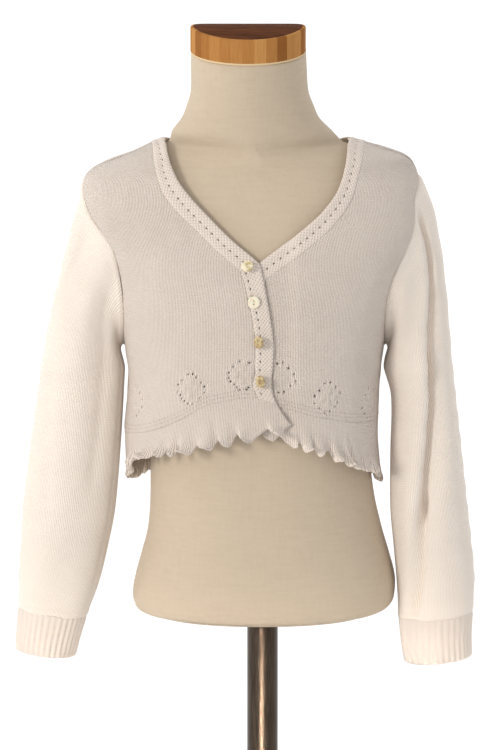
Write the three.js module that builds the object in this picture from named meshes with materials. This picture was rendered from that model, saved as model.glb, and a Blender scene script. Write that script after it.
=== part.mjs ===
// A child's cropped knitted cardigan, buttoned on a limbless dress form.
// Millimetres, +Z up, the front faces -Y. The origin is the centre of the foot, on the floor.
// "right" and "left" are the wearer's own, so right is -X.
import * as THREE from 'three';
import { mergeVertices } from 'three/addons/utils/BufferGeometryUtils.js';

// Cloth
const WALL = 1.6;            // thickness of the plain knit
const BAND_WALL = 2.2;       // the textured bands are thicker
const BAND_PROUD = 0.3;      // and stand this far outside it
const CUFF_WALL = 1.8;
const RIB_HEIGHT = 0.7;
const RUFFLE_WALL = 2.0;
const SEAM_GAP = 0.4;        // clearance from one piece to the next
const TURN_LENGTH = 85;      // millimetres of cloth to one radian of turn, about
const SEAM_TURN = 0.0016;    // half of a side or shoulder seam's clearance, as an angle
const PEPLUM_GAP = 0.88;     // from the waist seam down to the peplum's top
const SLEEVE_GAP = 0.72;     // from the armhole's line out to the sleeve
const SQUARENESS = 2.3;      // exponent of the body's rounded section
const RIBS_PER_CUFF = 34;

// Overlap of the fronts
const TUCK = 3.0;            // how far the left front lies under the right one
const TUCK_AT_HEM = 2.0;     // what the tuck gains down to the hem
const TUCK_FROM_X = 30;      // the left front starts to dip here
const TUCK_TO_X = 17;        // and has dipped in full here

// Ruffled hem
const FLARE = 5.0;           // how far the peplum stands off at the front and back
const SIDE_FLARE = -2.0;     // and at the sides, beside the sleeves
const RUFFLE = 3.4;          // wave of the edge at the front and back
const SIDE_RUFFLE = 2.2;
const RUFFLE_LIFT = 2.4;     // rise and fall of the edge with each wave
const HIDDEN_RUFFLE = 0.8;   // wave left where one front lies on the other
const HIDDEN_MARGIN = 4;     // how much wider the quiet part is than the tucked one
const STEPS_PER_WAVE = 5;

// Steps along edges, the same on both pieces that meet there
const SEAM_STEPS = 5;        // up a side seam
const ARMHOLE_STEPS = 12;    // round each half of an armhole
const EDGE_STEPS = 9;        // up a front edge
const NECK_STEPS = 8;        // from the V to the shoulder
const BACK_NECK_STEPS = 12;
const SHOULDER_STEPS = 6;

// Buttons
const BUTTON_GAP = 0.3;      // from the band to the button's nearest point
const BUTTON_RADIUS = 4.85;
const BUTTON_THICK = 1.3;
const BUTTON_BEVEL = 0.45;
const BUTTON_HOLE_RADIUS = 0.65;
const BUTTON_HOLE_APART = 2.6;

// Dress form and stand
const NECK_LEAN = Math.tan(THREE.MathUtils.degToRad(9));
const NECK_LEAN_FROM = 752;
const NECK_TOP = 817.3;
const CAP_RIM = 20.2;
const CAP_RISE = 3.1;
const CAP_BACK_FALL = Math.tan(THREE.MathUtils.degToRad(8));
const CAP_CENTRE = new THREE.Vector2(-11.6, -8);
const CAP_HALF_WIDTH = 45.6;
const CAP_HALF_DEPTH = 40.6;
const POLE_RADIUS = 12.4;
const FOOT_RADIUS = 130;
const FOOT_THICK = 8;
const COLLAR_RADIUS = 21;
const COLLAR_TOP = 30;

// The cardigan's body, outside the cloth: at each height its right and left ends
// and how far it reaches to the front and to the back
const BODY = [
  { z: 462, right: -107.0, left: 95.5, front: 87, back: 81 },
  { z: 490, right: -110.0, left: 94.0, front: 86, back: 80 },
  { z: 512, right: -110.3, left: 92.5, front: 84.5, back: 79 },
  { z: 541, right: -108.3, left: 93.0, front: 82.5, back: 78 },
  { z: 560, right: -107.5, left: 94.4, front: 81.5, back: 78 },
  { z: 577, right: -109.5, left: 96.5, front: 80.5, back: 78.5 },
  { z: 610, right: -114.0, left: 101.0, front: 78.5, back: 80 },
  { z: 630, right: -118.0, left: 107.0, front: 77, back: 80.5 },
  { z: 647, right: -123.0, left: 115.0, front: 75, back: 80 },
  { z: 662, right: -129.5, left: 122.0, front: 72.5, back: 79 },
  { z: 677, right: -137.5, left: 126.0, front: 69.5, back: 77 },
  { z: 690, right: -143.0, left: 126.0, front: 66, back: 74 },
  { z: 703, right: -144.5, left: 124.5, front: 61, back: 69.5 },
  { z: 712, right: -143.3, left: 124.3, front: 56.5, back: 65 },
  { z: 718.5, right: -140.5, left: 123.5, front: 53, back: 61.5 },
  { z: 725, right: -132.0, left: 121.0, front: 49, back: 57.5 },
  { z: 731, right: -118.5, left: 117.0, front: 45, back: 53.5 },
  { z: 735, right: -107.3, left: 110.5, front: 42, back: 51 },
  { z: 740, right: -96.5, left: 95.0, front: 39, back: 48.5 },
  { z: 744.3, right: -87.4, left: 80.1, front: 37, back: 46.5 },
  { z: 747.5, right: -77.0, left: 67.4, front: 35, back: 45 },
  { z: 751, right: -66.0, left: 56.0, front: 33, back: 43 },
];

// The padded form: ends, depths and the squareness of each section
const FORM = [
  { z: 366.0, right: -88.0, left: 86.0, front: 63, back: 63, square: 2.2 },
  { z: 367.6, right: -99.0, left: 96.5, front: 72, back: 72, square: 2.3 },
  { z: 372.6, right: -103.2, left: 103.8, front: 77, back: 77, square: 2.3 },
  { z: 380.0, right: -104.4, left: 106.2, front: 79, back: 80, square: 2.3 },
  { z: 393.5, right: -102.2, left: 106.4, front: 79, back: 81, square: 2.3 },
  { z: 413.0, right: -96.9, left: 101.4, front: 77, back: 80, square: 2.3 },
  { z: 433.0, right: -92.0, left: 95.6, front: 75, back: 76, square: 2.3 },
  { z: 462.0, right: -90.0, left: 89.2, front: 72, back: 71, square: 2.3 },
  { z: 500.0, right: -90.6, left: 85.5, front: 70, back: 68, square: 2.3 },
  { z: 560.0, right: -96.0, left: 87.0, front: 70, back: 69, square: 2.3 },
  { z: 610.0, right: -102.0, left: 93.0, front: 71.5, back: 73, square: 2.3 },
  { z: 640.0, right: -105.0, left: 97.0, front: 69.4, back: 75, square: 2.3 },
  { z: 660.0, right: -107.0, left: 99.5, front: 66.8, back: 74.5, square: 2.3 },
  { z: 680.0, right: -110.0, left: 102.0, front: 63.0, back: 71.5, square: 2.25 },
  { z: 700.0, right: -112.5, left: 105.0, front: 57.0, back: 66.0, square: 2.15 },
  { z: 715.0, right: -113.0, left: 107.5, front: 49.8, back: 58, square: 1.95 },
  { z: 724.0, right: -111.0, left: 108.0, front: 45, back: 52, square: 1.7 },
  { z: 731.0, right: -105.5, left: 105.5, front: 41.8, back: 47, square: 1.5 },
  { z: 737.0, right: -96.6, left: 95.0, front: 40.5, back: 43.5, square: 1.35 },
  { z: 741.6, right: -85.6, left: 77.6, front: 40.5, back: 41.5, square: 1.2 },
  { z: 744.3, right: -75.6, left: 64.6, front: 40.5, back: 41.0, square: 1.3 },
  { z: 748.0, right: -73.4, left: 60.2, front: 41.0, back: 41.0, square: 1.5 },
  { z: 754.0, right: -71.6, left: 54.6, front: 41.5, back: 40.5, square: 1.7 },
  { z: 763.5, right: -64.4, left: 45.0, front: 42, back: 39.5, square: 1.9 },
  { z: 773.0, right: -60.4, left: 40.6, front: 43, back: 38, square: 2.0 },
  { z: 784.0, right: -57.2, left: 36.4, front: 44.5, back: 36.5, square: 2.0 },
  { z: 801.0, right: -56.9, left: 35.0, front: 46.5, back: 34, square: 2.0 },
  { z: NECK_TOP, right: -56.8, left: 34.2, front: 48, back: 32, square: 2.0 },
];

// Seam between body and peplum, from the right side over the front to the left side
const WAIST_SEAM_RIGHT = [
  { x: -110.3, z: 513 },
  { x: -90, z: 521 },
  { x: -69, z: 531 },
  { x: -45, z: 545 },
  { x: -22, z: 551 },
  { x: -12, z: 552.6 },
  { x: -3.4, z: 552.4 },
  { x: 10.8, z: 547.4 },
];
const WAIST_SEAM_LEFT = [
  { x: -10, z: 546 },
  { x: 18, z: 543 },
  { x: 46, z: 535 },
  { x: 75, z: 528 },
  { x: 92.5, z: 524 },
];
const WAIST_SEAM_BACK = [
  { turn: 0, z: 513 },
  { turn: 0.5, z: 516 },
  { turn: 1, z: 524 },
];

// Lowest edge of the peplum, by the share of the way from the side seam to the front edge
const HEM_RIGHT = [
  { turn: 0, z: 475 },
  { turn: 0.22, z: 494 },
  { turn: 0.45, z: 504 },
  { turn: 0.62, z: 508 },
  { turn: 0.85, z: 519 },
  { turn: 1, z: 528 },
];
const HEM_LEFT = [
  { turn: 0, z: 472 },
  { turn: 0.2, z: 484 },
  { turn: 0.45, z: 493 },
  { turn: 0.62, z: 502 },
  { turn: 0.8, z: 512 },
  { turn: 0.9, z: 518 },
  { turn: 1, z: 521 },
];
const HEM_BACK = [
  { turn: 0, z: 475 },
  { turn: 0.14, z: 468 },
  { turn: 0.5, z: 479 },
  { turn: 0.88, z: 471 },
  { turn: 1, z: 472 },
];

// Front edges of the two fronts and the inner edges of their bands, from the hem seam up
const FRONT_EDGE_RIGHT = [
  { edge: 10.8, band: -3.4, z: 547, bandZ: 553.6 },
  { edge: 6.6, band: -7.6, z: 561, bandZ: 561 },
  { edge: 7.7, band: -6.5, z: 575, bandZ: 575 },
  { edge: 8.5, band: -5.7, z: 594, bandZ: 594 },
  { edge: 6.1, band: -8.1, z: 614, bandZ: 614 },
  { edge: 1.4, band: -12.8, z: 641, bandZ: 637 },
  { edge: -3.3, band: -17.5, z: 658.5, bandZ: 652.5 },
];
const FRONT_EDGE_LEFT = [
  { edge: -5, band: 9.5, z: 546, bandZ: 544.2 },
  { edge: -6, band: 8, z: 564, bandZ: 564 },
  { edge: -8, band: 6, z: 597, bandZ: 597 },
  { edge: -12, band: 2.5, z: 628, bandZ: 628 },
  { edge: -13, band: 1, z: 640, bandZ: 637 },
  { edge: -12.4, band: 2, z: 651.5, bandZ: 645 },
];
const FLAP_CORNER = { x: 22.6, z: 528 };

// Neckline: the band's inner edge (x, z) and outer edge (outX, outZ)
const NECK_RIGHT = [
  { x: -3.3, z: 658.5, outX: -17.5, outZ: 652.5 },
  { x: -8.5, z: 663.2, outX: -20.5, outZ: 655 },
  { x: -25.3, z: 677, outX: -35, outZ: 667 },
  { x: -43.4, z: 694.7, outX: -53, outZ: 684 },
  { x: -58, z: 709.5, outX: -69, outZ: 699 },
  { x: -67, z: 721, outX: -79.5, outZ: 713 },
  { x: -73, z: 733, outX: -84.6, outZ: 728 },
  { x: -75.6, z: 741, outX: -86.4, outZ: 738 },
  { x: -77, z: 747.5, outX: -87.4, outZ: 744.3 },
];
const NECK_LEFT = [
  { x: -12.4, z: 651.5, outX: 2, outZ: 645 },
  { x: 0.6, z: 661.3, outX: 9, outZ: 650 },
  { x: 14.5, z: 671.5, outX: 23, outZ: 660 },
  { x: 36, z: 687.6, outX: 45, outZ: 676.5 },
  { x: 48.6, z: 699.1, outX: 58, outZ: 689 },
  { x: 60, z: 715, outX: 70.5, outZ: 707 },
  { x: 64.6, z: 729, outX: 76, outZ: 725 },
  { x: 66.6, z: 740, outX: 79, outZ: 737 },
  { x: 67.4, z: 747.5, outX: 80.1, outZ: 744.3 },
];
const NECK_BACK = [
  { x: -74, z: 744, outX: -84, outZ: 739.5 },
  { x: -66, z: 740, outX: -76, outZ: 732 },
  { x: -42, z: 734, outX: -50, outZ: 723 },
  { x: -5, z: 732, outX: -5, outZ: 720 },
  { x: 32, z: 734, outX: 42, outZ: 723 },
  { x: 57, z: 740, outX: 69, outZ: 732 },
  { x: 64.5, z: 744, outX: 76.6, outZ: 739.5 },
];

// Armholes as seen from the front, from the shoulder's tip down to the armpit
const TIP_Z = 718.5;
const ARMPIT_Z = 580;
const ARMHOLE_FRONT_RIGHT = [
  { x: -140.8, z: 698 },
  { x: -131.5, z: 681 },
  { x: -120.5, z: 667 },
  { x: -114, z: 645 },
  { x: -110.4, z: 606 },
];
const ARMHOLE_BACK_RIGHT = [
  { x: -139.5, z: 698 },
  { x: -131, z: 680 },
  { x: -122, z: 660 },
  { x: -116, z: 637 },
  { x: -111.4, z: 604 },
];
const ARMHOLE_FRONT_LEFT = [
  { x: 120.5, z: 702 },
  { x: 119.5, z: 680 },
  { x: 112.5, z: 660 },
  { x: 103.5, z: 641 },
  { x: 97.2, z: 606 },
];
const ARMHOLE_BACK_LEFT = [
  { x: 121, z: 702 },
  { x: 120, z: 682 },
  { x: 115, z: 660 },
  { x: 107, z: 638 },
  { x: 98.6, z: 604 },
];

// Sleeves: inner and outer side, depth of the axis, half the thickness from front to back,
// slope of the section, and the long crease: its place round the tube and its depth
const SLEEVE_RIGHT = [
  { z: 562, inside: -110.0, outside: -177.2, y: 0, half: 31, slope: 0.02, crease: 118, deep: 3.5 },
  { z: 511, inside: -113.0, outside: -184.3, y: -2, half: 30, slope: 0.05, crease: 122, deep: 2.5 },
  { z: 453, inside: -118.0, outside: -191.9, y: -5, half: 28.5, slope: 0.08, crease: 110, deep: 1.2 },
  { z: 423, inside: -123.8, outside: -193.8, y: -6, half: 27.5, slope: 0.1, crease: 100, deep: 1.2 },
  { z: 393, inside: -131.2, outside: -195.6, y: -7, half: 26, slope: 0.11, crease: 95, deep: 1.6 },
  { z: 364.6, inside: -141.6, outside: -195.8, y: -8, half: 24, slope: 0.12, crease: 95, deep: 1 },
];
const SLEEVE_LEFT = [
  { z: 562, inside: 97.0, outside: 152.2, y: 0, half: 35, slope: 0.02, crease: 66, deep: 7 },
  { z: 541, inside: 102.6, outside: 154.5, y: -2, half: 34.5, slope: 0.03, crease: 72, deep: 8 },
  { z: 495, inside: 102.2, outside: 159.5, y: -6, half: 33.5, slope: 0.05, crease: 84, deep: 9 },
  { z: 453, inside: 102.3, outside: 163.9, y: -10, half: 32, slope: 0.07, crease: 102, deep: 8 },
  { z: 423, inside: 105.0, outside: 167.3, y: -13, half: 31, slope: 0.08, crease: 118, deep: 6 },
  { z: 393, inside: 107.6, outside: 169.9, y: -17, half: 29, slope: 0.09, crease: 130, deep: 4 },
  { z: 364.6, inside: 109.0, outside: 168.6, y: -18, half: 26, slope: 0.1, crease: 137, deep: 2.5 },
];
const CUFF_RIGHT = [
  { z: 364, inside: -142.2, outside: -196.0, y: -8, half: 23.5, slope: 0.12 },
  { z: 345, inside: -147.8, outside: -197.6, y: -8.5, half: 22.5, slope: 0.12 },
  { z: 332, inside: -151.0, outside: -198.3, y: -9, half: 23, slope: 0.12 },
];
const CUFF_LEFT = [
  { z: 364, inside: 110.0, outside: 168.2, y: -18, half: 25, slope: 0.1 },
  { z: 345, inside: 112.0, outside: 167.2, y: -18.5, half: 24, slope: 0.1 },
  { z: 329, inside: 114.6, outside: 167.8, y: -19, half: 24.5, slope: 0.1 },
];
const CREASE_WIDTH = THREE.MathUtils.degToRad(24);
const SLEEVE_DROP = [0.3, 0, -0.9];   // the way the sleeve sets out from the armhole
const CROWN = {                       // and at the shoulder's tip, with its own pull
  right: { lead: [0.25, 0, -1], reach: 1.0 },
  left: { lead: [0.8, 0, -0.6], reach: 0.5 },
};
const CROWN_SHARE = 0.4;
const SLEEVE_AWAY = 0.45;             // and how much it also sets out across the seam
const UNDERARM_LEAD = 1.1;            // and away from the body at the armpit
const SLEEVE_REACH = 1.1;             // pull of both ends on the curve between them
const SLEEVE_STEPS = [0.09, 0.22, 0.36, 0.52, 0.68, 0.84];
const LOWER_SLEEVE_ROWS = 9;
const CREASE_SQUEEZE = 0.8;           // how far a crease also draws in the sides
const BACK_CREASE = { deep: 0.45, wide: 1.2 };

// Buttons, from the top down: place, turn about the vertical and nod forward, in degrees
const BUTTONS = [
  { x: -12, z: 655.6, turn: -12, nod: -34 },
  { x: -7.2, z: 628.3, turn: 4, nod: 6 },
  { x: -2.6, z: 597, turn: -46, nod: 4 },
  { x: -1.2, z: 566, turn: -50, nod: 4 },
];

// Materials
const paint = (color, roughness, metalness = 0) =>
  new THREE.MeshStandardMaterial({ color, roughness, metalness });
const KNIT = paint(0xece2d8, 0.9);
const LINEN = paint(0xd9cbb2, 0.85);
const WOOD = paint(0xa8713d, 0.45);
const STEEL = paint(0x3a322d, 0.35, 0.9);
const SHELL = paint(0xe2d59c, 0.25);

const part = new THREE.Group();

function addMesh(name, geometry, material) {
  const mesh = new THREE.Mesh(geometry, material);
  mesh.name = name;
  part.add(mesh);
  return mesh;
}

// A smooth curve through one column of a table, read at a place along its first column
function column(rows, key, at, name) {
  let i = 0;
  while (i < rows.length - 2 && at > rows[i + 1][key]) i += 1;
  const slope = (k) => {
    const a = rows[Math.max(k - 1, 0)];
    const b = rows[Math.min(k + 1, rows.length - 1)];
    return (b[name] - a[name]) / (b[key] - a[key]);
  };
  const low = rows[i];
  const high = rows[i + 1];
  const span = high[key] - low[key];
  const t = THREE.MathUtils.clamp((at - low[key]) / span, 0, 1);
  const t2 = t * t;
  const t3 = t2 * t;
  return (2 * t3 - 3 * t2 + 1) * low[name] + (t3 - 2 * t2 + t) * span * slope(i)
    + (3 * t2 - 2 * t3) * high[name] + (t3 - t2) * span * slope(i + 1);
}

const signedPower = (value, power) => Math.sign(value) * Math.abs(value) ** power;

// A point of a rounded section. The turn runs from 0 at the left side over the front
// at a quarter to the right side at a half, and back behind.
function section(right, left, front, back, square, turn) {
  const middle = (right + left) / 2;
  const half = (left - right) / 2;
  const side = signedPower(Math.cos(turn), 2 / square);
  const depth = signedPower(Math.sin(turn), 2 / square);
  return [middle + half * side, depth > 0 ? -depth * front : -depth * back];
}

function bodyPoint(turn, z) {
  const [right, left, front, back] = ['right', 'left', 'front', 'back']
    .map((name) => column(BODY, 'z', z, name));
  const [x, y] = section(right, left, front, back, SQUARENESS, turn);
  return new THREE.Vector3(x, y, z);
}

// The way out of the cloth's surface
function outward(turn, z) {
  const step = 0.02;
  const across = bodyPoint(turn + step, z).sub(bodyPoint(turn - step, z));
  const up = bodyPoint(turn, z + step * 10).sub(bodyPoint(turn, z - step * 10));
  return across.cross(up).normalize().negate();
}

// The cloth's surface, moved out along its normal
function bodySurface(turn, z, out = 0) {
  const point = bodyPoint(turn, z);
  return out === 0 ? point : point.addScaledVector(outward(turn, z), out);
}

// The turn at which the body's front or back has a given x
function turnAt(x, z, behind = false) {
  const right = column(BODY, 'z', z, 'right');
  const left = column(BODY, 'z', z, 'left');
  const share = THREE.MathUtils.clamp((2 * x - right - left) / (left - right), -1, 1);
  const turn = Math.acos(signedPower(share, SQUARENESS / 2));
  return behind ? -turn : turn;
}

// A smooth path over the body, through places given by turn and height
function pathOf(places) {
  const curve = new THREE.CatmullRomCurve3(
    places.map(([turn, z]) => new THREE.Vector3(turn * 100, 0, z)), false, 'centripetal');
  return (t) => {
    const p = curve.getPoint(THREE.MathUtils.clamp(t, 0, 1));
    return [p.x / 100, p.z];
  };
}

// The same path moved sideways over the cloth, to its left as turn runs right and height up
function beside(path, gap) {
  return (t) => {
    const step = 0.01;
    const [a, b] = [path(Math.max(t - step, 0)), path(Math.min(t + step, 1))];
    const run = new THREE.Vector2((b[0] - a[0]) * TURN_LENGTH, b[1] - a[1]).normalize();
    const [turn, z] = path(t);
    return [turn - (run.y * gap) / TURN_LENGTH, z + run.x * gap];
  };
}

// One path after another, each with its own number of steps
function joined(pieces) {
  const steps = pieces.reduce((sum, [count]) => sum + count, 0);
  return (t) => {
    let start = 0;
    for (const [count, path] of pieces) {
      if (t * steps <= start + count + 1e-6) return path((t * steps - start) / count);
      start += count;
    }
    return pieces[pieces.length - 1][1](1);
  };
}

// A sheet between four edge paths, as turn and height
function coons(bottom, top, first, last) {
  return (u, v) => [0, 1].map((k) => {
    const ruled = (1 - v) * bottom(u)[k] + v * top(u)[k] + (1 - u) * first(v)[k] + u * last(v)[k];
    const corners = (1 - u) * (1 - v) * first(0)[k] + u * (1 - v) * last(0)[k]
      + (1 - u) * v * first(1)[k] + u * v * last(1)[k];
    return ruled - corners;
  });
}

// A closed wall between an outer and an inner skin
function wall(columns, rows, outer, inner, round = false) {
  const across = round ? columns : columns + 1;
  const points = [];
  for (const skin of [outer, inner]) {
    for (let j = 0; j <= rows; j += 1) {
      for (let i = 0; i < across; i += 1) points.push(skin(i / columns, j / rows, i, j));
    }
  }
  const layer = across * (rows + 1);
  const at = (skin, i, j) => skin * layer + j * across + (i % across);
  const faces = [];
  const quad = (a, b, c, d) => faces.push(a, b, c, a, c, d);
  for (let j = 0; j < rows; j += 1) {
    for (let i = 0; i < columns; i += 1) {
      quad(at(0, i, j), at(0, i + 1, j), at(0, i + 1, j + 1), at(0, i, j + 1));
      quad(at(1, i, j), at(1, i, j + 1), at(1, i + 1, j + 1), at(1, i + 1, j));
    }
  }
  for (let i = 0; i < columns; i += 1) {
    quad(at(0, i + 1, 0), at(0, i, 0), at(1, i, 0), at(1, i + 1, 0));
    quad(at(0, i, rows), at(0, i + 1, rows), at(1, i + 1, rows), at(1, i, rows));
  }
  if (!round) {
    for (let j = 0; j < rows; j += 1) {
      quad(at(0, 0, j), at(0, 0, j + 1), at(1, 0, j + 1), at(1, 0, j));
      quad(at(0, columns, j + 1), at(0, columns, j), at(1, columns, j), at(1, columns, j + 1));
    }
  }
  return meshOf(points, faces);
}

// A closed body of stacked rings with flat or domed ends
function stack(rings, around) {
  const points = [];
  for (const ring of rings) {
    for (let i = 0; i < around; i += 1) points.push(ring((i / around) * Math.PI * 2));
  }
  const faces = [];
  const at = (i, j) => j * around + (i % around);
  for (let j = 0; j < rings.length - 1; j += 1) {
    for (let i = 0; i < around; i += 1) {
      faces.push(at(i, j), at(i + 1, j), at(i + 1, j + 1));
      faces.push(at(i, j), at(i + 1, j + 1), at(i, j + 1));
    }
  }
  for (const j of [0, rings.length - 1]) {
    const centre = new THREE.Vector3();
    for (let i = 0; i < around; i += 1) centre.add(points[at(i, j)]);
    points.push(centre.divideScalar(around));
    for (let i = 0; i < around; i += 1) {
      const edge = j === 0 ? [at(i + 1, j), at(i, j)] : [at(i, j), at(i + 1, j)];
      faces.push(edge[0], edge[1], points.length - 1);
    }
  }
  return meshOf(points, faces);
}

// A geometry whose faces point out
function meshOf(points, faces) {
  let volume = 0;
  for (let k = 0; k < faces.length; k += 3) {
    const [a, b, c] = [points[faces[k]], points[faces[k + 1]], points[faces[k + 2]]];
    volume += a.dot(b.clone().cross(c));
  }
  const order = volume > 0 ? faces : faces.slice().reverse();
  const geometry = new THREE.BufferGeometry().setFromPoints(points);
  geometry.setIndex(order);
  geometry.computeVertexNormals();
  return geometry;
}

const smooth = (from, to, value) => {
  const t = THREE.MathUtils.clamp((value - from) / (to - from), 0, 1);
  return t * t * (3 - 2 * t);
};

// How far the left front lies behind the right one at a place
function tuckAt(turn, z, down = 0) {
  const x = bodyPoint(turn, z).x;
  const hidden = 1 - smooth(TUCK_TO_X, TUCK_FROM_X, x);
  return hidden * (TUCK + TUCK_AT_HEM * down);
}

// Fronts and back
const RIGHT_SIDE = Math.PI - SEAM_TURN;
const LEFT_SIDE = SEAM_TURN;
const frontPlace = (row) => [turnAt(row.x, row.z), row.z];
const backPlace = (row) => [turnAt(row.x, row.z, true), row.z];

function seamHeight(rows) {
  return (turn) => {
    let z = rows[0].z;
    for (let pass = 0; pass < 4; pass += 1) z = column(rows, 'x', bodyPoint(turn, z).x, 'z');
    return z;
  };
}

// The armhole's front or back half, from the tip to the armpit, and the panel's edge beside it
function armhole(rows, behind, side) {
  const flip = behind ? -1 : 1;
  const end = side < 0 ? flip * RIGHT_SIDE : flip * LEFT_SIDE;
  return pathOf([[end, TIP_Z], ...rows.map(behind ? backPlace : frontPlace), [end, ARMPIT_Z]]);
}

const armholes = {
  right: {
    front: armhole(ARMHOLE_FRONT_RIGHT, false, -1),
    back: armhole(ARMHOLE_BACK_RIGHT, true, -1),
  },
  left: {
    front: armhole(ARMHOLE_FRONT_LEFT, false, 1),
    back: armhole(ARMHOLE_BACK_LEFT, true, 1),
  },
};

// A panel's side: up the side seam to the armpit, then along the armhole to the tip
function panelSide(hole, side, behind, seamZ) {
  const flip = behind ? -1 : 1;
  const turn = side < 0 ? flip * RIGHT_SIDE : flip * LEFT_SIDE;
  const edge = beside(hole, SEAM_GAP * side * flip);
  const armpit = edge(1)[1];
  const seam = (t) => [turn, seamZ + (armpit - seamZ) * t];
  const hug = (t) => {
    const [a, z] = edge(1 - t);
    return t === 0 || t === 1 ? [turn, z] : [a, z];
  };
  return joined([[SEAM_STEPS, seam], [ARMHOLE_STEPS, hug]]);
}

const across = (from, to, height) => (u) => {
  const turn = from + (to - from) * u;
  return [turn, height(turn)];
};

// A front's edges: the front edge beside its band, and the neckline beside the neckband
const bandEdge = (rows) => pathOf(rows.map((r) => [turnAt(r.band, r.bandZ), r.bandZ]));
const frontEdge = (rows) => pathOf(rows.map((r) => [turnAt(r.edge, r.z), r.z]));
const shoulderRow = (rows, i) => i === rows.length - 1;
const neckOuter = (rows, sideTurn) => pathOf(rows.map((r, i) => [
  shoulderRow(rows, i) ? sideTurn : turnAt(r.outX, r.outZ), r.outZ]));
const neckInner = (rows, sideTurn) => pathOf(rows.map((r, i) => [
  shoulderRow(rows, i) ? sideTurn : turnAt(r.x, r.z), r.z]));

function frontPanel(name, side, hole, seamRows, edgeRows, neckRows, columns) {
  const seam = seamHeight(seamRows);
  const sideTurn = side < 0 ? RIGHT_SIDE : LEFT_SIDE;
  const edge = beside(bandEdge(edgeRows), SEAM_GAP * side);
  const neck = beside(neckOuter(neckRows, sideTurn), SEAM_GAP * side);
  const foot = edge(0)[0];
  const start = panelSide(hole, side, false, seam(sideTurn));
  const tip = start(1);
  const neckEnd = [sideTurn, neck(1)[1]];
  const shoulder = (u) => [sideTurn, tip[1] + (neckEnd[1] - tip[1]) * u];
  const end = joined([
    [EDGE_STEPS, (t) => (t === 0 ? [foot, seam(foot)] : edge(t))],
    [NECK_STEPS, (t) => (t > 0.999 ? neckEnd : neck(t))],
  ]);
  const sheet = coons(across(sideTurn, foot, seam), shoulder, start, end);
  const skin = (out) => (u, v) => {
    const [turn, z] = sheet(u, v);
    const tuck = side > 0 ? tuckAt(turn, z) : 0;
    return bodySurface(turn, z, out - tuck);
  };
  const rows = EDGE_STEPS + NECK_STEPS;
  addMesh(name, wall(columns, rows, skin(0), skin(-WALL)), KNIT);
}
frontPanel('front_right', -1, armholes.right.front, WAIST_SEAM_RIGHT,
  FRONT_EDGE_RIGHT, NECK_RIGHT, 13);
frontPanel('front_left', 1, armholes.left.front, WAIST_SEAM_LEFT,
  FRONT_EDGE_LEFT, NECK_LEFT, 13);

const neckBehind = (xName, zName, endZ) => pathOf([[-RIGHT_SIDE, endZ],
  ...NECK_BACK.map((r) => [turnAt(r[xName], r[zName], true), r[zName]]),
  [-LEFT_SIDE, endZ]]);

function backPanel() {
  const height = (turn) => column(WAIST_SEAM_BACK, 'turn', 1 + turn / Math.PI, 'z');
  const bottom = across(-RIGHT_SIDE, -LEFT_SIDE, height);
  const first = panelSide(armholes.right.back, -1, true, height(-RIGHT_SIDE));
  const last = panelSide(armholes.left.back, 1, true, height(-LEFT_SIDE));
  const neck = beside(neckBehind('outX', 'outZ', NECK_RIGHT.at(-1).outZ), -SEAM_GAP);
  const neckEnd = neck(0)[1];
  const tips = [first(1)[1], last(1)[1]];
  const top = joined([
    [SHOULDER_STEPS, (t) => [-RIGHT_SIDE, tips[0] + (neckEnd - tips[0]) * t]],
    [BACK_NECK_STEPS, neck],
    [SHOULDER_STEPS, (t) => [-LEFT_SIDE, neckEnd + (tips[1] - neckEnd) * t]],
  ]);
  const sheet = coons(bottom, top, first, last);
  const skin = (out) => (u, v) => {
    const [turn, z] = sheet(u, v);
    return bodySurface(turn, z, out);
  };
  const columns = 2 * SHOULDER_STEPS + BACK_NECK_STEPS;
  addMesh('back', wall(columns, SEAM_STEPS + ARMHOLE_STEPS, skin(0), skin(-WALL)), KNIT);
}
backPanel();

// Bands: strips between two edge paths on the body
function strip(name, inner, outer, lift, length, width) {
  const skin = (out) => (u, v) => {
    const [a, b] = [inner(u), outer(u)];
    const turn = a[0] + (b[0] - a[0]) * v;
    const z = a[1] + (b[1] - a[1]) * v;
    return bodySurface(turn, z, out + lift(turn, z));
  };
  addMesh(name, wall(length, width, skin(BAND_PROUD), skin(BAND_PROUD - BAND_WALL)), KNIT);
}

// A path over the back, with its turn counted on from the right side
const onward = (path) => (t) => {
  const [turn, z] = path(t);
  return [turn + 2 * Math.PI, z];
};
const reversed = (path) => (t) => path(1 - t);

function neckBand() {
  const ends = [NECK_RIGHT.at(-1), NECK_LEFT.at(-1)];
  const round = (right, behind, left) => joined([
    [NECK_STEPS, right],
    [BACK_NECK_STEPS, onward(behind)],
    [NECK_STEPS, onward(reversed(left))],
  ]);
  const inner = round(neckInner(NECK_RIGHT, Math.PI), neckBehind('x', 'z', ends[0].z),
    neckInner(NECK_LEFT, 0));
  const outer = round(neckOuter(NECK_RIGHT, Math.PI), neckBehind('outX', 'outZ', ends[0].outZ),
    neckOuter(NECK_LEFT, 0));
  const lift = (turn, z) => (turn > 2 * Math.PI ? -tuckAt(turn, z) : 0);
  strip('neckband', inner, outer, lift, 2 * NECK_STEPS + BACK_NECK_STEPS, 2);
}
neckBand();

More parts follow.
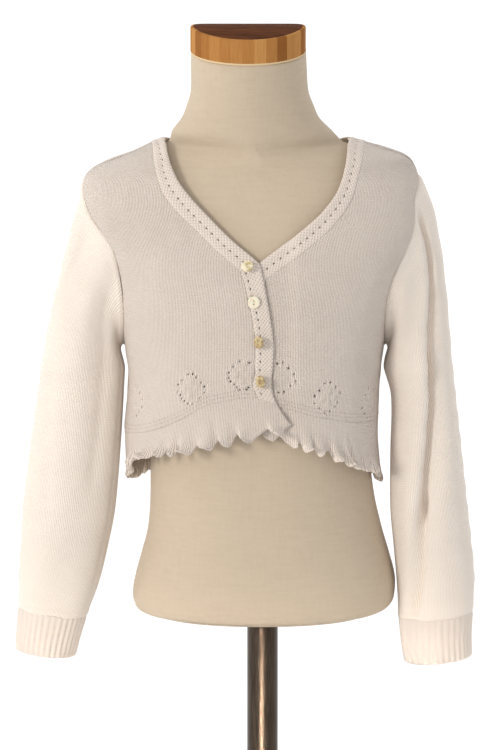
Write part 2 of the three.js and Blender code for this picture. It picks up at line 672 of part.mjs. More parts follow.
function frontBand(name, rows, side, neckRow, seamRows) {
  const seam = seamHeight(seamRows);
  const trim = (path, topTurn, topZ) => (t) => {
    const [turn, z] = path(t);
    if (t === 0) return [turn, seam(turn) + SEAM_GAP];
    return t > 0.999 ? [topTurn, topZ - SEAM_GAP] : [turn, z];
  };
  const edge = trim(frontEdge(rows), turnAt(neckRow.x, neckRow.z), neckRow.z);
  const panel = trim(bandEdge(rows), turnAt(neckRow.outX, neckRow.outZ), neckRow.outZ);
  const lift = (turn, z) => (side > 0 ? -tuckAt(turn, z) : 0);
  strip(name, edge, panel, lift, EDGE_STEPS, 2);
}
frontBand('band_right', FRONT_EDGE_RIGHT, -1, NECK_RIGHT[0], WAIST_SEAM_RIGHT);
frontBand('band_left', FRONT_EDGE_LEFT, 1, NECK_LEFT[0], WAIST_SEAM_LEFT);

// Peplum with its ruffled edge
function peplum(name, from, to, seam, hem, waves, side) {
  const columns = waves * STEPS_PER_WAVE;
  const rows = [0, 0.42, 0.74, 1];
  const place = (u, v) => {
    const topTurn = from + (to[0] - from) * u;
    const turn = topTurn + (to[1] - to[0]) * u ** 3 * v;
    const top = seam(topTurn) - PEPLUM_GAP;
    const low = column(hem, 'turn', u, 'z');
    return [turn, top + (low - top) * v];
  };
  const skin = (out) => (u, v, i, j) => {
    const down = rows[j];
    const [turn, z] = place(u, down);
    const aside = Math.abs(Math.cos(turn)) ** 6;
    const point = bodyPoint(turn, z);
    const hidden = side > 0
      ? 1 - smooth(TUCK_TO_X + HIDDEN_MARGIN, TUCK_FROM_X + HIDDEN_MARGIN, point.x) : 0;
    const flare = (FLARE * (1 - aside) + SIDE_FLARE * aside) * (1 - hidden);
    const height = RUFFLE * (1 - aside) + SIDE_RUFFLE * aside;
    const swing = (height * (1 - hidden) + HIDDEN_RUFFLE * hidden) * down ** 3;
    const phase = u * waves * Math.PI * 2;
    const tuck = side > 0 ? tuckAt(turn, z, down) : 0;
    const level = outward(turn, z).setZ(0).normalize();
    point.addScaledVector(level, out - tuck + flare * down ** 1.5 + swing * Math.sin(phase));
    point.z += RUFFLE_LIFT * down ** 3 * Math.cos(phase);
    return point;
  };
  addMesh(name, wall(columns, rows.length - 1, skin(0), skin(-RUFFLE_WALL)), KNIT);
}
const rightSeam = seamHeight(WAIST_SEAM_RIGHT);
const leftSeam = seamHeight(WAIST_SEAM_LEFT);
const backSeam = (turn) => column(WAIST_SEAM_BACK, 'turn', 1 + turn / Math.PI, 'z');
peplum('peplum_right', RIGHT_SIDE, [turnAt(FRONT_EDGE_RIGHT[0].edge, FRONT_EDGE_RIGHT[0].z),
  turnAt(FLAP_CORNER.x, FLAP_CORNER.z)], rightSeam, HEM_RIGHT, 13, -1);
peplum('peplum_left', LEFT_SIDE, [turnAt(FRONT_EDGE_LEFT[0].edge, FRONT_EDGE_LEFT[0].z),
  turnAt(0, 510)], leftSeam, HEM_LEFT, 12, 1);
peplum('peplum_back', -RIGHT_SIDE, [-LEFT_SIDE, -LEFT_SIDE], backSeam, HEM_BACK, 20, -1);

// Sleeves and cuffs
const downward = (rows) => rows.map((r) => ({ ...r, down: -r.z }));

function sleeveRing(rows, z, turn, out, side) {
  const [inside, outside, y, half, slope] = ['inside', 'outside', 'y', 'half', 'slope']
    .map((name) => column(rows, 'down', -z, name));
  const middle = (inside + outside) / 2;
  const wide = Math.abs(outside - inside) / 2;
  let depth = 0;
  if (rows[0].crease) {
    const place = THREE.MathUtils.degToRad(column(rows, 'down', -z, 'crease'));
    const deep = column(rows, 'down', -z, 'deep');
    const away = Math.abs(turn - place) / CREASE_WIDTH;
    const behind = Math.abs(turn - place - Math.PI) / (CREASE_WIDTH * BACK_CREASE.wide);
    depth = deep * (Math.exp(-away * away) + BACK_CREASE.deep * Math.exp(-behind * behind));
  }
  const reach = Math.cos(turn) * (wide + out - depth * CREASE_SQUEEZE);
  const thick = Math.sin(turn) * (half + out - depth);
  return new THREE.Vector3(middle + side * reach, y - thick, z + slope * reach);
}

function sleeve(name, rows, holes, crown, side) {
  const table = downward(rows);
  const around = 2 * ARMHOLE_STEPS;
  const top = rows[0].z;
  const hem = rows.at(-1).z;
  const count = SLEEVE_STEPS.length;
  const loop = (turn) => {
    const share = turn / Math.PI;
    return share <= 1 ? holes.front(share) : holes.back(2 - share);
  };
  const start = (turn) => {
    const [a, z] = loop(turn);
    const point = bodySurface(a, z);
    const step = 0.05;
    const [b, bz] = loop((turn + step) % (2 * Math.PI));
    const [c, cz] = loop((turn - step + 2 * Math.PI) % (2 * Math.PI));
    const along = bodySurface(b, bz).sub(bodySurface(c, cz)).normalize();
    const normal = outward(a, z);
    const [dropX, dropY, dropZ] = SLEEVE_DROP;
    const share = turn / Math.PI;
    const down = share <= 1 ? share : 2 - share;
    const low = UNDERARM_LEAD * smooth(0.4, 0.95, down);
    const high = 1 - smooth(0, CROWN_SHARE, down);
    const [crownX, crownY, crownZ] = crown.lead;
    const lead = along.clone().cross(normal).multiplyScalar(-side).normalize()
      .multiplyScalar(SLEEVE_AWAY)
      .add(new THREE.Vector3(dropX * side, dropY, dropZ))
      .addScaledVector(normal, low)
      .normalize()
      .lerp(new THREE.Vector3(crownX * side, crownY, crownZ).normalize(), high)
      .normalize();
    const pull = SLEEVE_REACH + (crown.reach - SLEEVE_REACH) * high;
    return { point: point.addScaledVector(lead, SLEEVE_GAP), lead, pull };
  };
  const outer = (u, v, i, j) => {
    const turn = (i / around) * 2 * Math.PI;
    if (j > count) {
      const z = top + ((hem - top) * (j - count - 1)) / LOWER_SLEEVE_ROWS;
      return sleeveRing(table, z, turn, 0, side);
    }
    const { point, lead, pull } = start(turn);
    const end = sleeveRing(table, top, turn, 0, side);
    const t = j === 0 ? 0 : SLEEVE_STEPS[j - 1];
    const reach = end.distanceTo(point) * pull;
    const below = sleeveRing(table, top - 5, turn, 0, side).sub(end).normalize();
    const t2 = t * t;
    const t3 = t2 * t;
    return point.clone().multiplyScalar(2 * t3 - 3 * t2 + 1)
      .addScaledVector(lead, (t3 - 2 * t2 + t) * reach)
      .addScaledVector(end, 3 * t2 - 2 * t3)
      .addScaledVector(below, (t3 - t2) * reach);
  };
  const rowCount = count + 1 + LOWER_SLEEVE_ROWS;
  const inner = (u, v, i, j) => {
    const grid = (a, b) => outer(0, 0, (a + around) % around, THREE.MathUtils.clamp(b, 0, rowCount));
    const spin = grid(i + 1, j).sub(grid(i - 1, j));
    const fall = grid(i, j + 1).sub(grid(i, j - 1));
    const inward = spin.cross(fall).normalize().multiplyScalar(side * WALL);
    return outer(0, 0, i, j).add(inward);
  };
  addMesh(name, wall(around, rowCount, outer, inner, true), KNIT);
}
sleeve('sleeve_right', SLEEVE_RIGHT, armholes.right, CROWN.right, -1);
sleeve('sleeve_left', SLEEVE_LEFT, armholes.left, CROWN.left, 1);

function cuff(name, rows, side) {
  const table = downward(rows);
  const around = RIBS_PER_CUFF * 2;
  const top = rows[0].z;
  const low = rows.at(-1).z;
  const skin = (out, rib) => (u, v, i) => {
    const raised = i % 2 === 0 ? rib : 0;
    return sleeveRing(table, top + (low - top) * v, u * 2 * Math.PI, out + raised, side);
  };
  addMesh(name, wall(around, 2, skin(0, RIB_HEIGHT), skin(-CUFF_WALL, 0), true), KNIT);
}
cuff('cuff_right', CUFF_RIGHT, -1);
cuff('cuff_left', CUFF_LEFT, 1);

// Buttons: flat discs with two thread holes, each standing just clear of its band
function button(name, row) {
  const outline = new THREE.Shape().absarc(0, 0, BUTTON_RADIUS - BUTTON_BEVEL, 0, Math.PI * 2);
  for (const end of [-1, 1]) {
    const hole = new THREE.Path();
    hole.absarc(0, (end * BUTTON_HOLE_APART) / 2, BUTTON_HOLE_RADIUS + BUTTON_BEVEL / 2, 0,
      Math.PI * 2, true);
    outline.holes.push(hole);
  }
  const solid = new THREE.ExtrudeGeometry(outline, {
    depth: BUTTON_THICK,
    curveSegments: 8,
    bevelEnabled: true,
    bevelThickness: BUTTON_BEVEL,
    bevelSize: BUTTON_BEVEL,
    bevelSegments: 1,
  });
  solid.translate(0, 0, BUTTON_BEVEL);
  solid.deleteAttribute('normal');
  solid.deleteAttribute('uv');
  const geometry = mergeVertices(solid, 1e-4);
  geometry.computeVertexNormals();
  const turn = turnAt(row.x, row.z);
  const seat = bodySurface(turn, row.z);
  const normal = outward(turn, row.z);
  const mesh = addMesh(name, geometry, SHELL);
  const face = new THREE.Quaternion().setFromUnitVectors(new THREE.Vector3(0, 0, 1), normal);
  const spin = new THREE.Quaternion().setFromEuler(new THREE.Euler(
    THREE.MathUtils.degToRad(row.nod), THREE.MathUtils.degToRad(row.turn), 0));
  mesh.quaternion.copy(face).multiply(spin);
  const tilt = Math.hypot(Math.sin(THREE.MathUtils.degToRad(row.turn)),
    Math.sin(THREE.MathUtils.degToRad(row.nod)));
  const stand = BAND_PROUD + BUTTON_GAP + BUTTON_RADIUS * tilt;
  mesh.position.copy(seat.addScaledVector(normal, stand));
}
BUTTONS.forEach((row, i) => button(`button_${i + 1}`, row));

// Dress form: torso and neck in one padded body
function formRing(row) {
  return (turn) => {
    const [x, y] = section(row.right, row.left, row.front, row.back, row.square, turn);
    const lean = NECK_LEAN * smooth(NECK_LEAN_FROM, NECK_TOP, row.z);
    return new THREE.Vector3(x, y, row.z + lean * (y - CAP_CENTRE.y));
  };
}
addMesh('form_body', stack(FORM.map(formRing), 32), LINEN);

// Neck cap: a wooden block whose top is a low ridge from side to side
const CAP_BOTTOM = 'bottom';
function capRing(scale, height) {
  return (turn) => {
    const x = CAP_CENTRE.x + CAP_HALF_WIDTH * scale * Math.cos(turn);
    const y = CAP_CENTRE.y - CAP_HALF_DEPTH * scale * Math.sin(turn);
    const plane = NECK_TOP + SEAM_GAP + NECK_LEAN * (y - CAP_CENTRE.y);
    const ridge = NECK_TOP + SEAM_GAP + CAP_RIM + CAP_RISE;
    const away = y - CAP_CENTRE.y;
    const front = ridge + away * (NECK_LEAN + CAP_RISE / CAP_HALF_DEPTH);
    const back = ridge - away * CAP_BACK_FALL;
    return new THREE.Vector3(x, y, height === CAP_BOTTOM ? plane : Math.min(front, back) + height);
  };
}
addMesh('neck_cap', stack([capRing(0.985, CAP_BOTTOM), capRing(1, -1.2), capRing(0.975, 0),
  capRing(0.5, 0)], 32), WOOD);

// Stand
const STAND_GAP = 0.3;
const lathe = (profile, segments) => {
  const turned = new THREE.LatheGeometry(profile.map(([r, z]) => new THREE.Vector2(r, z)), segments);
  turned.rotateX(Math.PI / 2);
  turned.deleteAttribute('normal');
  turned.deleteAttribute('uv');
  const geometry = mergeVertices(turned, 1e-4);
  geometry.computeVertexNormals();
  return geometry;
};
const POLE_FOOT = FOOT_THICK + STAND_GAP;
const POLE_TOP = FORM[0].z - STAND_GAP;
const COLLAR_BORE = POLE_RADIUS + STAND_GAP;
addMesh('pole', lathe([[0, POLE_FOOT], [POLE_RADIUS, POLE_FOOT], [POLE_RADIUS, POLE_TOP],
  [0, POLE_TOP]], 32), STEEL);
addMesh('pole_collar', lathe([[COLLAR_BORE, POLE_FOOT], [COLLAR_RADIUS, POLE_FOOT],
  [COLLAR_RADIUS, COLLAR_TOP - 2], [COLLAR_RADIUS - 2, COLLAR_TOP], [COLLAR_BORE, COLLAR_TOP],
  [COLLAR_BORE, POLE_FOOT]], 32), STEEL);
addMesh('foot', lathe([[0, 0], [FOOT_RADIUS - 1, 0], [FOOT_RADIUS, 1],
  [FOOT_RADIUS, FOOT_THICK - 2], [FOOT_RADIUS - 2, FOOT_THICK], [0, FOOT_THICK]], 48), STEEL);

export default part;
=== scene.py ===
"""Looks of a child's knitted cardigan on its dress form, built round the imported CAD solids.

Tables and functions are in millimetres, and meshes are written in metres. The front faces -Y,
and right and left are the wearer's own, so right is -X. A place on the body's cloth is a turn
about the vertical, 0 at the left side and a quarter turn at the front, and a height.
"""

import math

import bpy
import numpy as np
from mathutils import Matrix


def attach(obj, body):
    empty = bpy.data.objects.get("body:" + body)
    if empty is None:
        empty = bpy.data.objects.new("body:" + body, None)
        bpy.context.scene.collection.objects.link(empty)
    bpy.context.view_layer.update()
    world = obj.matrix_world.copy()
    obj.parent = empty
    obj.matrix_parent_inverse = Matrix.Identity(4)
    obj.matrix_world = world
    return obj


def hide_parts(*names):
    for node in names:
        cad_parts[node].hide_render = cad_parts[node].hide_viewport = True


MM = 0.001
UV_SCALE = 0.01            # a UV unit is 100 mm
PI = math.pi

# Cloth
WALL = 1.2
BAND_WALL = 1.9
CUFF_WALL = 1.6
RUFFLE_WALL = 1.5
BAND_PROUD = 0.3
SEAM = -0.25               # the pieces that show lap this much at their seams
SEAM_DIP = 0.22            # and dip this much there
EDGE_SOFT = 1.7            # how far from an edge the cloth starts to curl in
EDGE_CURL = 0.42           # by this share of its wall
TURN_LENGTH = 85           # the cloth in one radian of turn
SQUARENESS = 2.3
MIDDLE_X = -8
TIP = 718.5                # height of the shoulder tips
ARMPIT = 580
WAIST_Z = 560
RIBS_PER_CUFF = 34
RIB_WIDTH = 5.1
RIB_HEIGHT = 0.8
CUFF_LAP = 2               # how far the cuff that shows goes up into the sleeve
SLEEVE_ROUND = 198.0       # the knit round a sleeve
CREASE_WIDTH = math.radians(24)

# Stitches
WALE = 2.5
COURSE = 1.9
PURL_PITCH = 2.7
PURL_ROWS = (3.6, 6.6)     # their distances from the waist seam
NO_ROWS = 50.0             # a distance at which none show
EYELET_REACH = 1.2         # how far a stitch may lie from its eyelet's place
MOTIF_EYELET = 0.68        # radius
BAND_EYELET = 0.5
BAND_EYELET_STRETCH = 2.1
BAND_EYELET_PITCH = 6.6
LINEN_THREAD = 1.1
WOOD_STRIP = 9.0

# The left front lies under the right one
TUCK = 3.0
TUCK_AT_HEM = 2.0
TUCK_FROM_X = 30
TUCK_TO_X = 17

# Ruffled hem
FLARE = 5.0
SIDE_FLARE = -2.0
RUFFLE = 3.4
SIDE_RUFFLE = 2.2
RUFFLE_LIFT = 2.4
HIDDEN_RUFFLE = 0.8

# Form and stand
NECK_LEAN = math.tan(math.radians(9))
NECK_LEAN_FROM = 752
NECK_TOP = 817.3
CAP_CENTRE = (-11.6, -8)
CAP_HALF = (45.6, 40.6)
CAP_RIM = 20.2
CAP_RISE = 3.1
CAP_BACK_FALL = math.tan(math.radians(8))
CAP_PALE = 1.6             # height of the pale lower rim

# Radius and height of the turned pieces
POLE = [(11.6, 8.3), (12.4, 9), (12.4, 12), (12.4, 360), (12.4, 363), (11.6, 363.7)]
COLLAR = [(20.4, 8.3), (21, 9), (21, 27.4), (20.2, 29.3), (18.6, 30), (12.6, 30)]
FOOT = [(128.5, 0), (130, 1), (130, 5.8), (129.2, 7.4), (127.6, 8), (100, 8), (30, 8)]


def rows(names, text):
    """A table with named columns, a row on each line or after each comma."""
    lines = text.replace(",", "\n").split("\n")
    values = np.array([[float(x) for x in line.split()] for line in lines if line.strip()])
    return {name: values[:, i] for i, name in enumerate(names.split())}


BODY = rows("z right left front back", """
    462 -107 95.5 87 81
    490 -110 94 86 80
    512 -110.3 92.5 84.5 79
    541 -108.3 93 82.5 78
    560 -107.5 94.4 81.5 78
    577 -109.5 96.5 80.5 78.5
    610 -114 101 78.5 80
    630 -118 107 77 80.5
    647 -123 115 75 80
    662 -129.5 122 72.5 79
    677 -137.5 126 69.5 77
    690 -143 126 66 74
    703 -144.5 124.5 61 69.5
    712 -143.3 124.3 56.5 65
    718.5 -140.5 123.5 53 61.5
    725 -132 121 49 57.5
    731 -118.5 117 45 53.5
    735 -107.3 110.5 42 51
    740 -96.5 95 39 48.5
    744.3 -87.4 80.1 37 46.5
    747.5 -77 67.4 35 45
    751 -66 56 33 43
""")
FORM = rows("z right left front back square", """
    366 -88 86 63 63 2.2
    367.6 -99 96.5 72 72 2.3
    372.6 -103.2 103.8 77 77 2.3
    380 -104.4 106.2 79 80 2.3
    393.5 -102.2 106.4 79 81 2.3
    413 -96.9 101.4 77 80 2.3
    433 -92 95.6 75 76 2.3
    462 -90 89.2 72 71 2.3
    500 -90.6 85.5 70 68 2.3
    560 -96 87 70 69 2.3
    610 -102 93 71.5 73 2.3
    640 -105 97 69.4 75 2.3
    660 -107 99.5 66.8 74.5 2.3
    680 -110 102 63 71.5 2.25
    700 -112.5 105 57 66 2.15
    715 -113 107.5 49.8 58 1.95
    724 -111 108 45 52 1.7
    731 -105.5 105.5 41.8 47 1.5
    737 -96.6 95 40.5 43.5 1.35
    741.6 -85.6 77.6 40.5 41.5 1.2
    744.3 -75.6 64.6 40.5 41 1.3
    748 -73.4 60.2 41 41 1.5
    754 -71.6 54.6 41.5 40.5 1.7
    763.5 -64.4 45 42 39.5 1.9
    773 -60.4 40.6 43 38 2
    784 -57.2 36.4 44.5 36.5 2
    801 -56.9 35 46.5 34 2
    817.3 -56.8 34.2 48 32 2
""")
WAIST_SEAM_RIGHT = rows("x z", """
    -110.3 513, -90 521, -69 531, -45 545, -22 551, -12 552.6, -3.4 552.4, 10.8 547.4
""")
WAIST_SEAM_LEFT = rows("x z", "-10 546, 18 543, 46 535, 75 528, 92.5 524")
WAIST_SEAM_BACK = rows("turn z", "0 513, 0.5 516, 1 524")
HEM_RIGHT = rows("turn z", "0 475, 0.22 494, 0.45 504, 0.62 508, 0.85 519, 1 528")
HEM_LEFT = rows("turn z", "0 472, 0.2 484, 0.45 493, 0.62 502, 0.8 512, 0.9 518, 1 521")
HEM_BACK = rows("turn z", "0 475, 0.14 468, 0.5 479, 0.88 471, 1 472")
FRONT_EDGE_RIGHT = rows("edge band z bandZ", """
    10.8 -3.4 547 553.6, 6.6 -7.6 561 561, 7.7 -6.5 575 575, 8.5 -5.7 594 594, 6.1 -8.1 614 614,
    1.4 -12.8 641 637, -3.3 -17.5 658.5 652.5
""")
FRONT_EDGE_LEFT = rows("edge band z bandZ", """
    -5 9.5 546 544.2, -6 8 564 564, -8 6 597 597, -12 2.5 628 628, -13 1 640 637, -12.4 2 651.5 645
""")
NECK_RIGHT = rows("x z outX outZ", """
    -3.3 658.5 -17.5 652.5, -8.5 663.2 -20.5 655, -25.3 677 -35 667, -43.4 694.7 -53 684,
    -58 709.5 -69 699, -67 721 -79.5 713, -73 733 -84.6 728, -75.6 741 -86.4 738,
    -77 747.5 -87.4 744.3
""")
NECK_LEFT = rows("x z outX outZ", """
    -12.4 651.5 2 645, 0.6 661.3 9 650, 14.5 671.5 23 660, 36 687.6 45 676.5, 48.6 699.1 58 689,
    60 715 70.5 707, 64.6 729 76 725, 66.6 740 79 737, 67.4 747.5 80.1 744.3
""")
NECK_BACK = rows("x z outX outZ", """
    -74 744 -84 739.5, -66 740 -76 732, -42 734 -50 723, -5 732 -5 720, 32 734 42 723,
    57 740 69 732, 64.5 744 76.6 739.5
""")
ARMHOLE_FRONT_RIGHT = rows("x z", "-140.8 698, -131.5 681, -120.5 667, -114 645, -110.4 606")
ARMHOLE_BACK_RIGHT = rows("x z", "-139.5 698, -131 680, -122 660, -116 637, -111.4 604")
ARMHOLE_FRONT_LEFT = rows("x z", "120.5 702, 119.5 680, 112.5 660, 103.5 641, 97.2 606")
ARMHOLE_BACK_LEFT = rows("x z", "121 702, 120 682, 115 660, 107 638, 98.6 604")
SLEEVE_RIGHT = rows("z inside outside y half slope crease deep", """
    364.6 -141.6 -195.8 -8 24 0.12 95 1, 393 -131.2 -195.6 -7 26 0.11 95 1.6,
    423 -123.8 -193.8 -6 27.5 0.1 100 1.2, 453 -118 -191.9 -5 28.5 0.08 110 1.2,
    511 -113 -184.3 -2 30 0.05 122 2.5, 562 -110 -177.2 0 31 0.02 118 3.5
""")
SLEEVE_LEFT = rows("z inside outside y half slope crease deep", """
    364.6 109 168.6 -18 26 0.1 137 2.5, 393 107.6 169.9 -17 29 0.09 130 4,
    423 105 167.3 -13 31 0.08 118 6, 453 102.3 163.9 -10 32 0.07 102 8,
    495 102.2 159.5 -6 33.5 0.05 84 9, 541 102.6 154.5 -2 34.5 0.03 72 8,
    562 97 152.2 0 35 0.02 66 7
""")
CUFF_RIGHT = rows("z inside outside y half slope", """
    332 -151 -198.3 -9 23 0.12, 345 -147.8 -197.6 -8.5 22.5 0.12, 364 -142.2 -196 -8 23.5 0.12
""")
CUFF_LEFT = rows("z inside outside y half slope", """
    329 114.6 167.8 -19 24.5 0.1, 345 112 167.2 -18.5 24 0.1, 364 110 168.2 -18 25 0.1
""")


# Curves and places on the body

def read(table, key, at, name):
    """A smooth curve through one column of a table."""
    keys, values = table[key], table[name]
    at = np.asarray(at, float)
    last = len(keys) - 1
    low = np.clip(np.searchsorted(keys, at) - 1, 0, last - 1)
    index = np.arange(last + 1)
    before, after = np.maximum(index - 1, 0), np.minimum(index + 1, last)
    slope = (values[after] - values[before]) / (keys[after] - keys[before])
    span = keys[low + 1] - keys[low]
    t = np.clip((at - keys[low]) / span, 0, 1)
    t2, t3 = t**2, t**3
    return (
        (2 * t3 - 3 * t2 + 1) * values[low]
        + (t3 - 2 * t2 + t) * span * slope[low]
        + (3 * t2 - 2 * t3) * values[low + 1]
        + (t3 - t2) * span * slope[low + 1]
    )


def smooth(start, end, value):
    t = np.clip((value - start) / (end - start), 0, 1)
    return t * t * (3 - 2 * t)


def bump(value, width):
    return np.exp(-((value / width) ** 2))


def signed_power(value, power):
    return np.sign(value) * np.abs(value) ** power


def circle(count):
    return np.arange(count) / count * 2 * PI


def matched(a, b):
    return np.broadcast_arrays(np.asarray(a, float), np.asarray(b, float))


def section(right, left, front, back, square, turn):
    side = signed_power(np.cos(turn), 2 / square)
    depth = signed_power(np.sin(turn), 2 / square)
    x = (right + left) / 2 + (left - right) / 2 * side
    return x, np.where(depth > 0, -depth * front, -depth * back)


def body_point(turn, z):
    turn, z = matched(turn, z)
    sides = [read(BODY, "z", z, name) for name in ("right", "left", "front", "back")]
    x, y = section(*sides, SQUARENESS, turn)
    return np.stack([x, y, z], -1)


def unit(vectors):
    return vectors / np.maximum(np.linalg.norm(vectors, axis=-1, keepdims=True), 1e-9)


def body_normal(turn, z):
    step = 0.02
    around = body_point(turn + step, z) - body_point(turn - step, z)
    up = body_point(turn, z + 10 * step) - body_point(turn, z - 10 * step)
    return -unit(np.cross(around, up))


def turn_at(x, z, behind=False):
    right, left = (read(BODY, "z", z, name) for name in ("right", "left"))
    share = np.clip((2 * np.asarray(x, float) - right - left) / (left - right), -1, 1)
    turn = np.arccos(signed_power(share, SQUARENESS / 2))
    return -turn if behind else turn


def path_of(turns, heights):
    """A centripetal Catmull-Rom path through places given by turn and height."""
    points = np.stack([np.asarray(turns, float) * 100, np.asarray(heights, float)], -1)
    points = np.vstack([2 * points[0] - points[1], points, 2 * points[-1] - points[-2]])
    gaps = np.sqrt(np.linalg.norm(np.diff(points, axis=0), axis=1))
    parts = []
    for i in range(1, len(points) - 2):
        p0, p1, p2, p3 = points[i - 1 : i + 3]
        d0, d1, d2 = gaps[i - 1 : i + 2]
        t1 = ((p1 - p0) / d0 - (p2 - p0) / (d0 + d1) + (p2 - p1) / d1) * d1
        t2 = ((p2 - p1) / d1 - (p3 - p1) / (d1 + d2) + (p3 - p2) / d2) * d1
        parts.append([p1, t1, -3 * p1 + 3 * p2 - 2 * t1 - t2, 2 * p1 - 2 * p2 + t1 + t2])
    parts = np.array(parts)

    def path(t):
        place = np.clip(np.asarray(t, float), 0, 1) * len(parts)
        i = np.minimum(place.astype(int), len(parts) - 1)
        w = (place - i)[..., None]
        c = parts[i]
        p = c[..., 0, :] + w * (c[..., 1, :] + w * (c[..., 2, :] + w * c[..., 3, :]))
        return p[..., 0] / 100, p[..., 1]

    return path


def beside(path, gap):
    """The path moved sideways over the cloth."""

    def moved(t):
        t = np.asarray(t, float)
        (a, az), (b, bz) = path(np.maximum(t - 0.01, 0)), path(np.minimum(t + 0.01, 1))
        run = unit(np.stack([(b - a) * TURN_LENGTH, bz - az], -1))
        turn, z = path(t)
        return turn - run[..., 1] * gap / TURN_LENGTH, z + run[..., 0] * gap

    return moved


def pinned(path, start, end, steps):
    """The path with its ends drawn to two places over its first and last step."""
    (a, az), (b, bz) = path(0.0), path(1.0)

    def drawn(t):
        turn, z = path(t)
        first, last = np.clip(1 - t * steps, 0, 1), np.clip(1 - (1 - t) * steps, 0, 1)
        turn = turn + first * (start[0] - a) + last * (end[0] - b)
        return turn, z + first * (start[1] - az) + last * (end[1] - bz)

    return drawn


def joined(*pieces):
    """Paths one after the other, each over its count of steps."""
    total = sum(count for count, _ in pieces)

    def path(t):
        at = np.asarray(t, float) * total
        turn, z = np.zeros_like(at), np.zeros_like(at)
        start = 0
        for count, piece in pieces:
            here = at >= start - 1e-9
            turn[here], z[here] = piece(np.clip((at[here] - start) / count, 0, 1))
            start += count
        return turn, z

    return path


def line(a, b):
    return lambda t: (a[0] + (b[0] - a[0]) * t, a[1] + (b[1] - a[1]) * t)


def along_seam(start, end, seam):
    def path(t):
        turn = start + (end - start) * t
        return turn, seam(turn)

    return path


def reversed_path(path):
    return lambda t: path(1 - t)


def onward(path):
    def moved(t):
        turn, z = path(t)
        return turn + 2 * PI, z

    return moved


def coons(bottom, top, first, last, columns, lines):
    """Turn and height on a grid between four edge paths."""
    u, v = np.linspace(0, 1, columns + 1), np.linspace(0, 1, lines + 1)
    result = []
    for k in (0, 1):
        low, high = bottom(u)[k][None], top(u)[k][None]
        near, far = first(v)[k][:, None], last(v)[k][:, None]
        a, b = u[None], v[:, None]
        ruled = (1 - b) * low + b * high + (1 - a) * near + a * far
        corners = (1 - a) * (1 - b) * near[0] + a * (1 - b) * far[0]
        corners = corners + (1 - a) * b * near[-1] + a * b * far[-1]
        result.append(ruled - corners)
    return result


def tuck_at(turn, z, down=0):
    """How deep the left front lies under the right one."""
    hidden = 1 - smooth(TUCK_TO_X, TUCK_FROM_X, body_point(turn, z)[..., 0])
    return hidden * (TUCK + TUCK_AT_HEM * down)


def surface_lengths():
    """Lengths over the body's surface: round it at each height, and up it at each turn."""
    turns = np.linspace(-PI, PI, 1441)
    heights = np.linspace(450, 760, 156)
    points = body_point(turns[None], heights[:, None])
    round_steps = np.linalg.norm(np.diff(points[..., :2], axis=1), axis=-1)
    up_steps = np.linalg.norm(np.diff(points, axis=0), axis=-1)
    round_it = np.hstack([np.zeros((len(heights), 1)), np.cumsum(round_steps, 1)])
    up_it = np.vstack([np.zeros((1, len(turns))), np.cumsum(up_steps, 0)])
    waist = int(np.argmin(np.abs(heights - WAIST_Z)))
    return turns, heights, round_it, up_it - up_it[waist] + WAIST_Z


ARC_TURNS, ARC_HEIGHTS, ARC, CLIMB = surface_lengths()


def surface_length(table, turn, z):
    """Reads one of the two tables of lengths."""
    turn, z = matched(turn, z)
    i, j = (np.clip((at - steps[0]) / (steps[1] - steps[0]), 0, len(steps) - 1.001)
            for at, steps in ((turn, ARC_TURNS), (z, ARC_HEIGHTS)))
    i0, j0 = i.astype(int), j.astype(int)
    fi, fj = i - i0, j - j0
    low = table[j0, i0] * (1 - fi) + table[j0, i0 + 1] * fi
    return low * (1 - fj) + (table[j0 + 1, i0] * (1 - fi) + table[j0 + 1, i0 + 1] * fi) * fj


def arc(turn, z, middle):
    """Length of cloth from a turn at the middle of the front or back, at one height."""
    turn, z = matched(turn, z)
    return surface_length(ARC, np.full(turn.shape, middle), z) - surface_length(ARC, turn, z)


ALL_EDGES = "first last bottom top"


def drift(u, v, seed, size, height):
    """Slow unevenness of hand-laid cloth."""
    rng = np.random.default_rng(seed)
    total = np.zeros(np.broadcast(u, v).shape)
    for _ in range(9):
        angle, phase = rng.uniform(0, 2 * PI, 2)
        wave = size * rng.uniform(0.6, 1.8)
        total += np.sin(2 * PI * (u * np.cos(angle) + v * np.sin(angle)) / wave + phase)
    return total * height / 3


# Meshes

def grid_quads(count, wide, closed):
    i, j = np.meshgrid(np.arange(wide if closed else wide - 1), np.arange(count - 1))
    low, high, right = j * wide, (j + 1) * wide, (i + 1) % wide
    return np.stack([low + i, low + right, high + right, high + i], -1).reshape(-1, 4)


def grid_normals(grid, closed, centre):
    if closed:
        across = np.roll(grid, -1, 1) - np.roll(grid, 1, 1)
    else:
        across = np.gradient(grid, axis=1)
    normals = unit(np.cross(across, np.gradient(grid, axis=0)))
    facing = np.sum(normals * (grid - centre), -1).mean()
    return normals * np.sign(facing), facing > 0


def edge_distance(grid, edges):
    """How far each point lies from the nearest of the named edges, along the cloth."""
    far = np.full(grid.shape[:2], 1e3)
    along = np.linalg.norm(np.diff(grid, axis=1), axis=-1)
    along = np.hstack([np.zeros((len(grid), 1)), np.cumsum(along, 1)])
    up = np.linalg.norm(np.diff(grid, axis=0), axis=-1)
    up = np.vstack([np.zeros((1, grid.shape[1])), np.cumsum(up, 0)])
    sides = {"first": along, "last": along[:, -1:] - along, "bottom": up, "top": up[-1:] - up}
    for side in edges.split():
        far = np.minimum(far, sides[side])
    return far


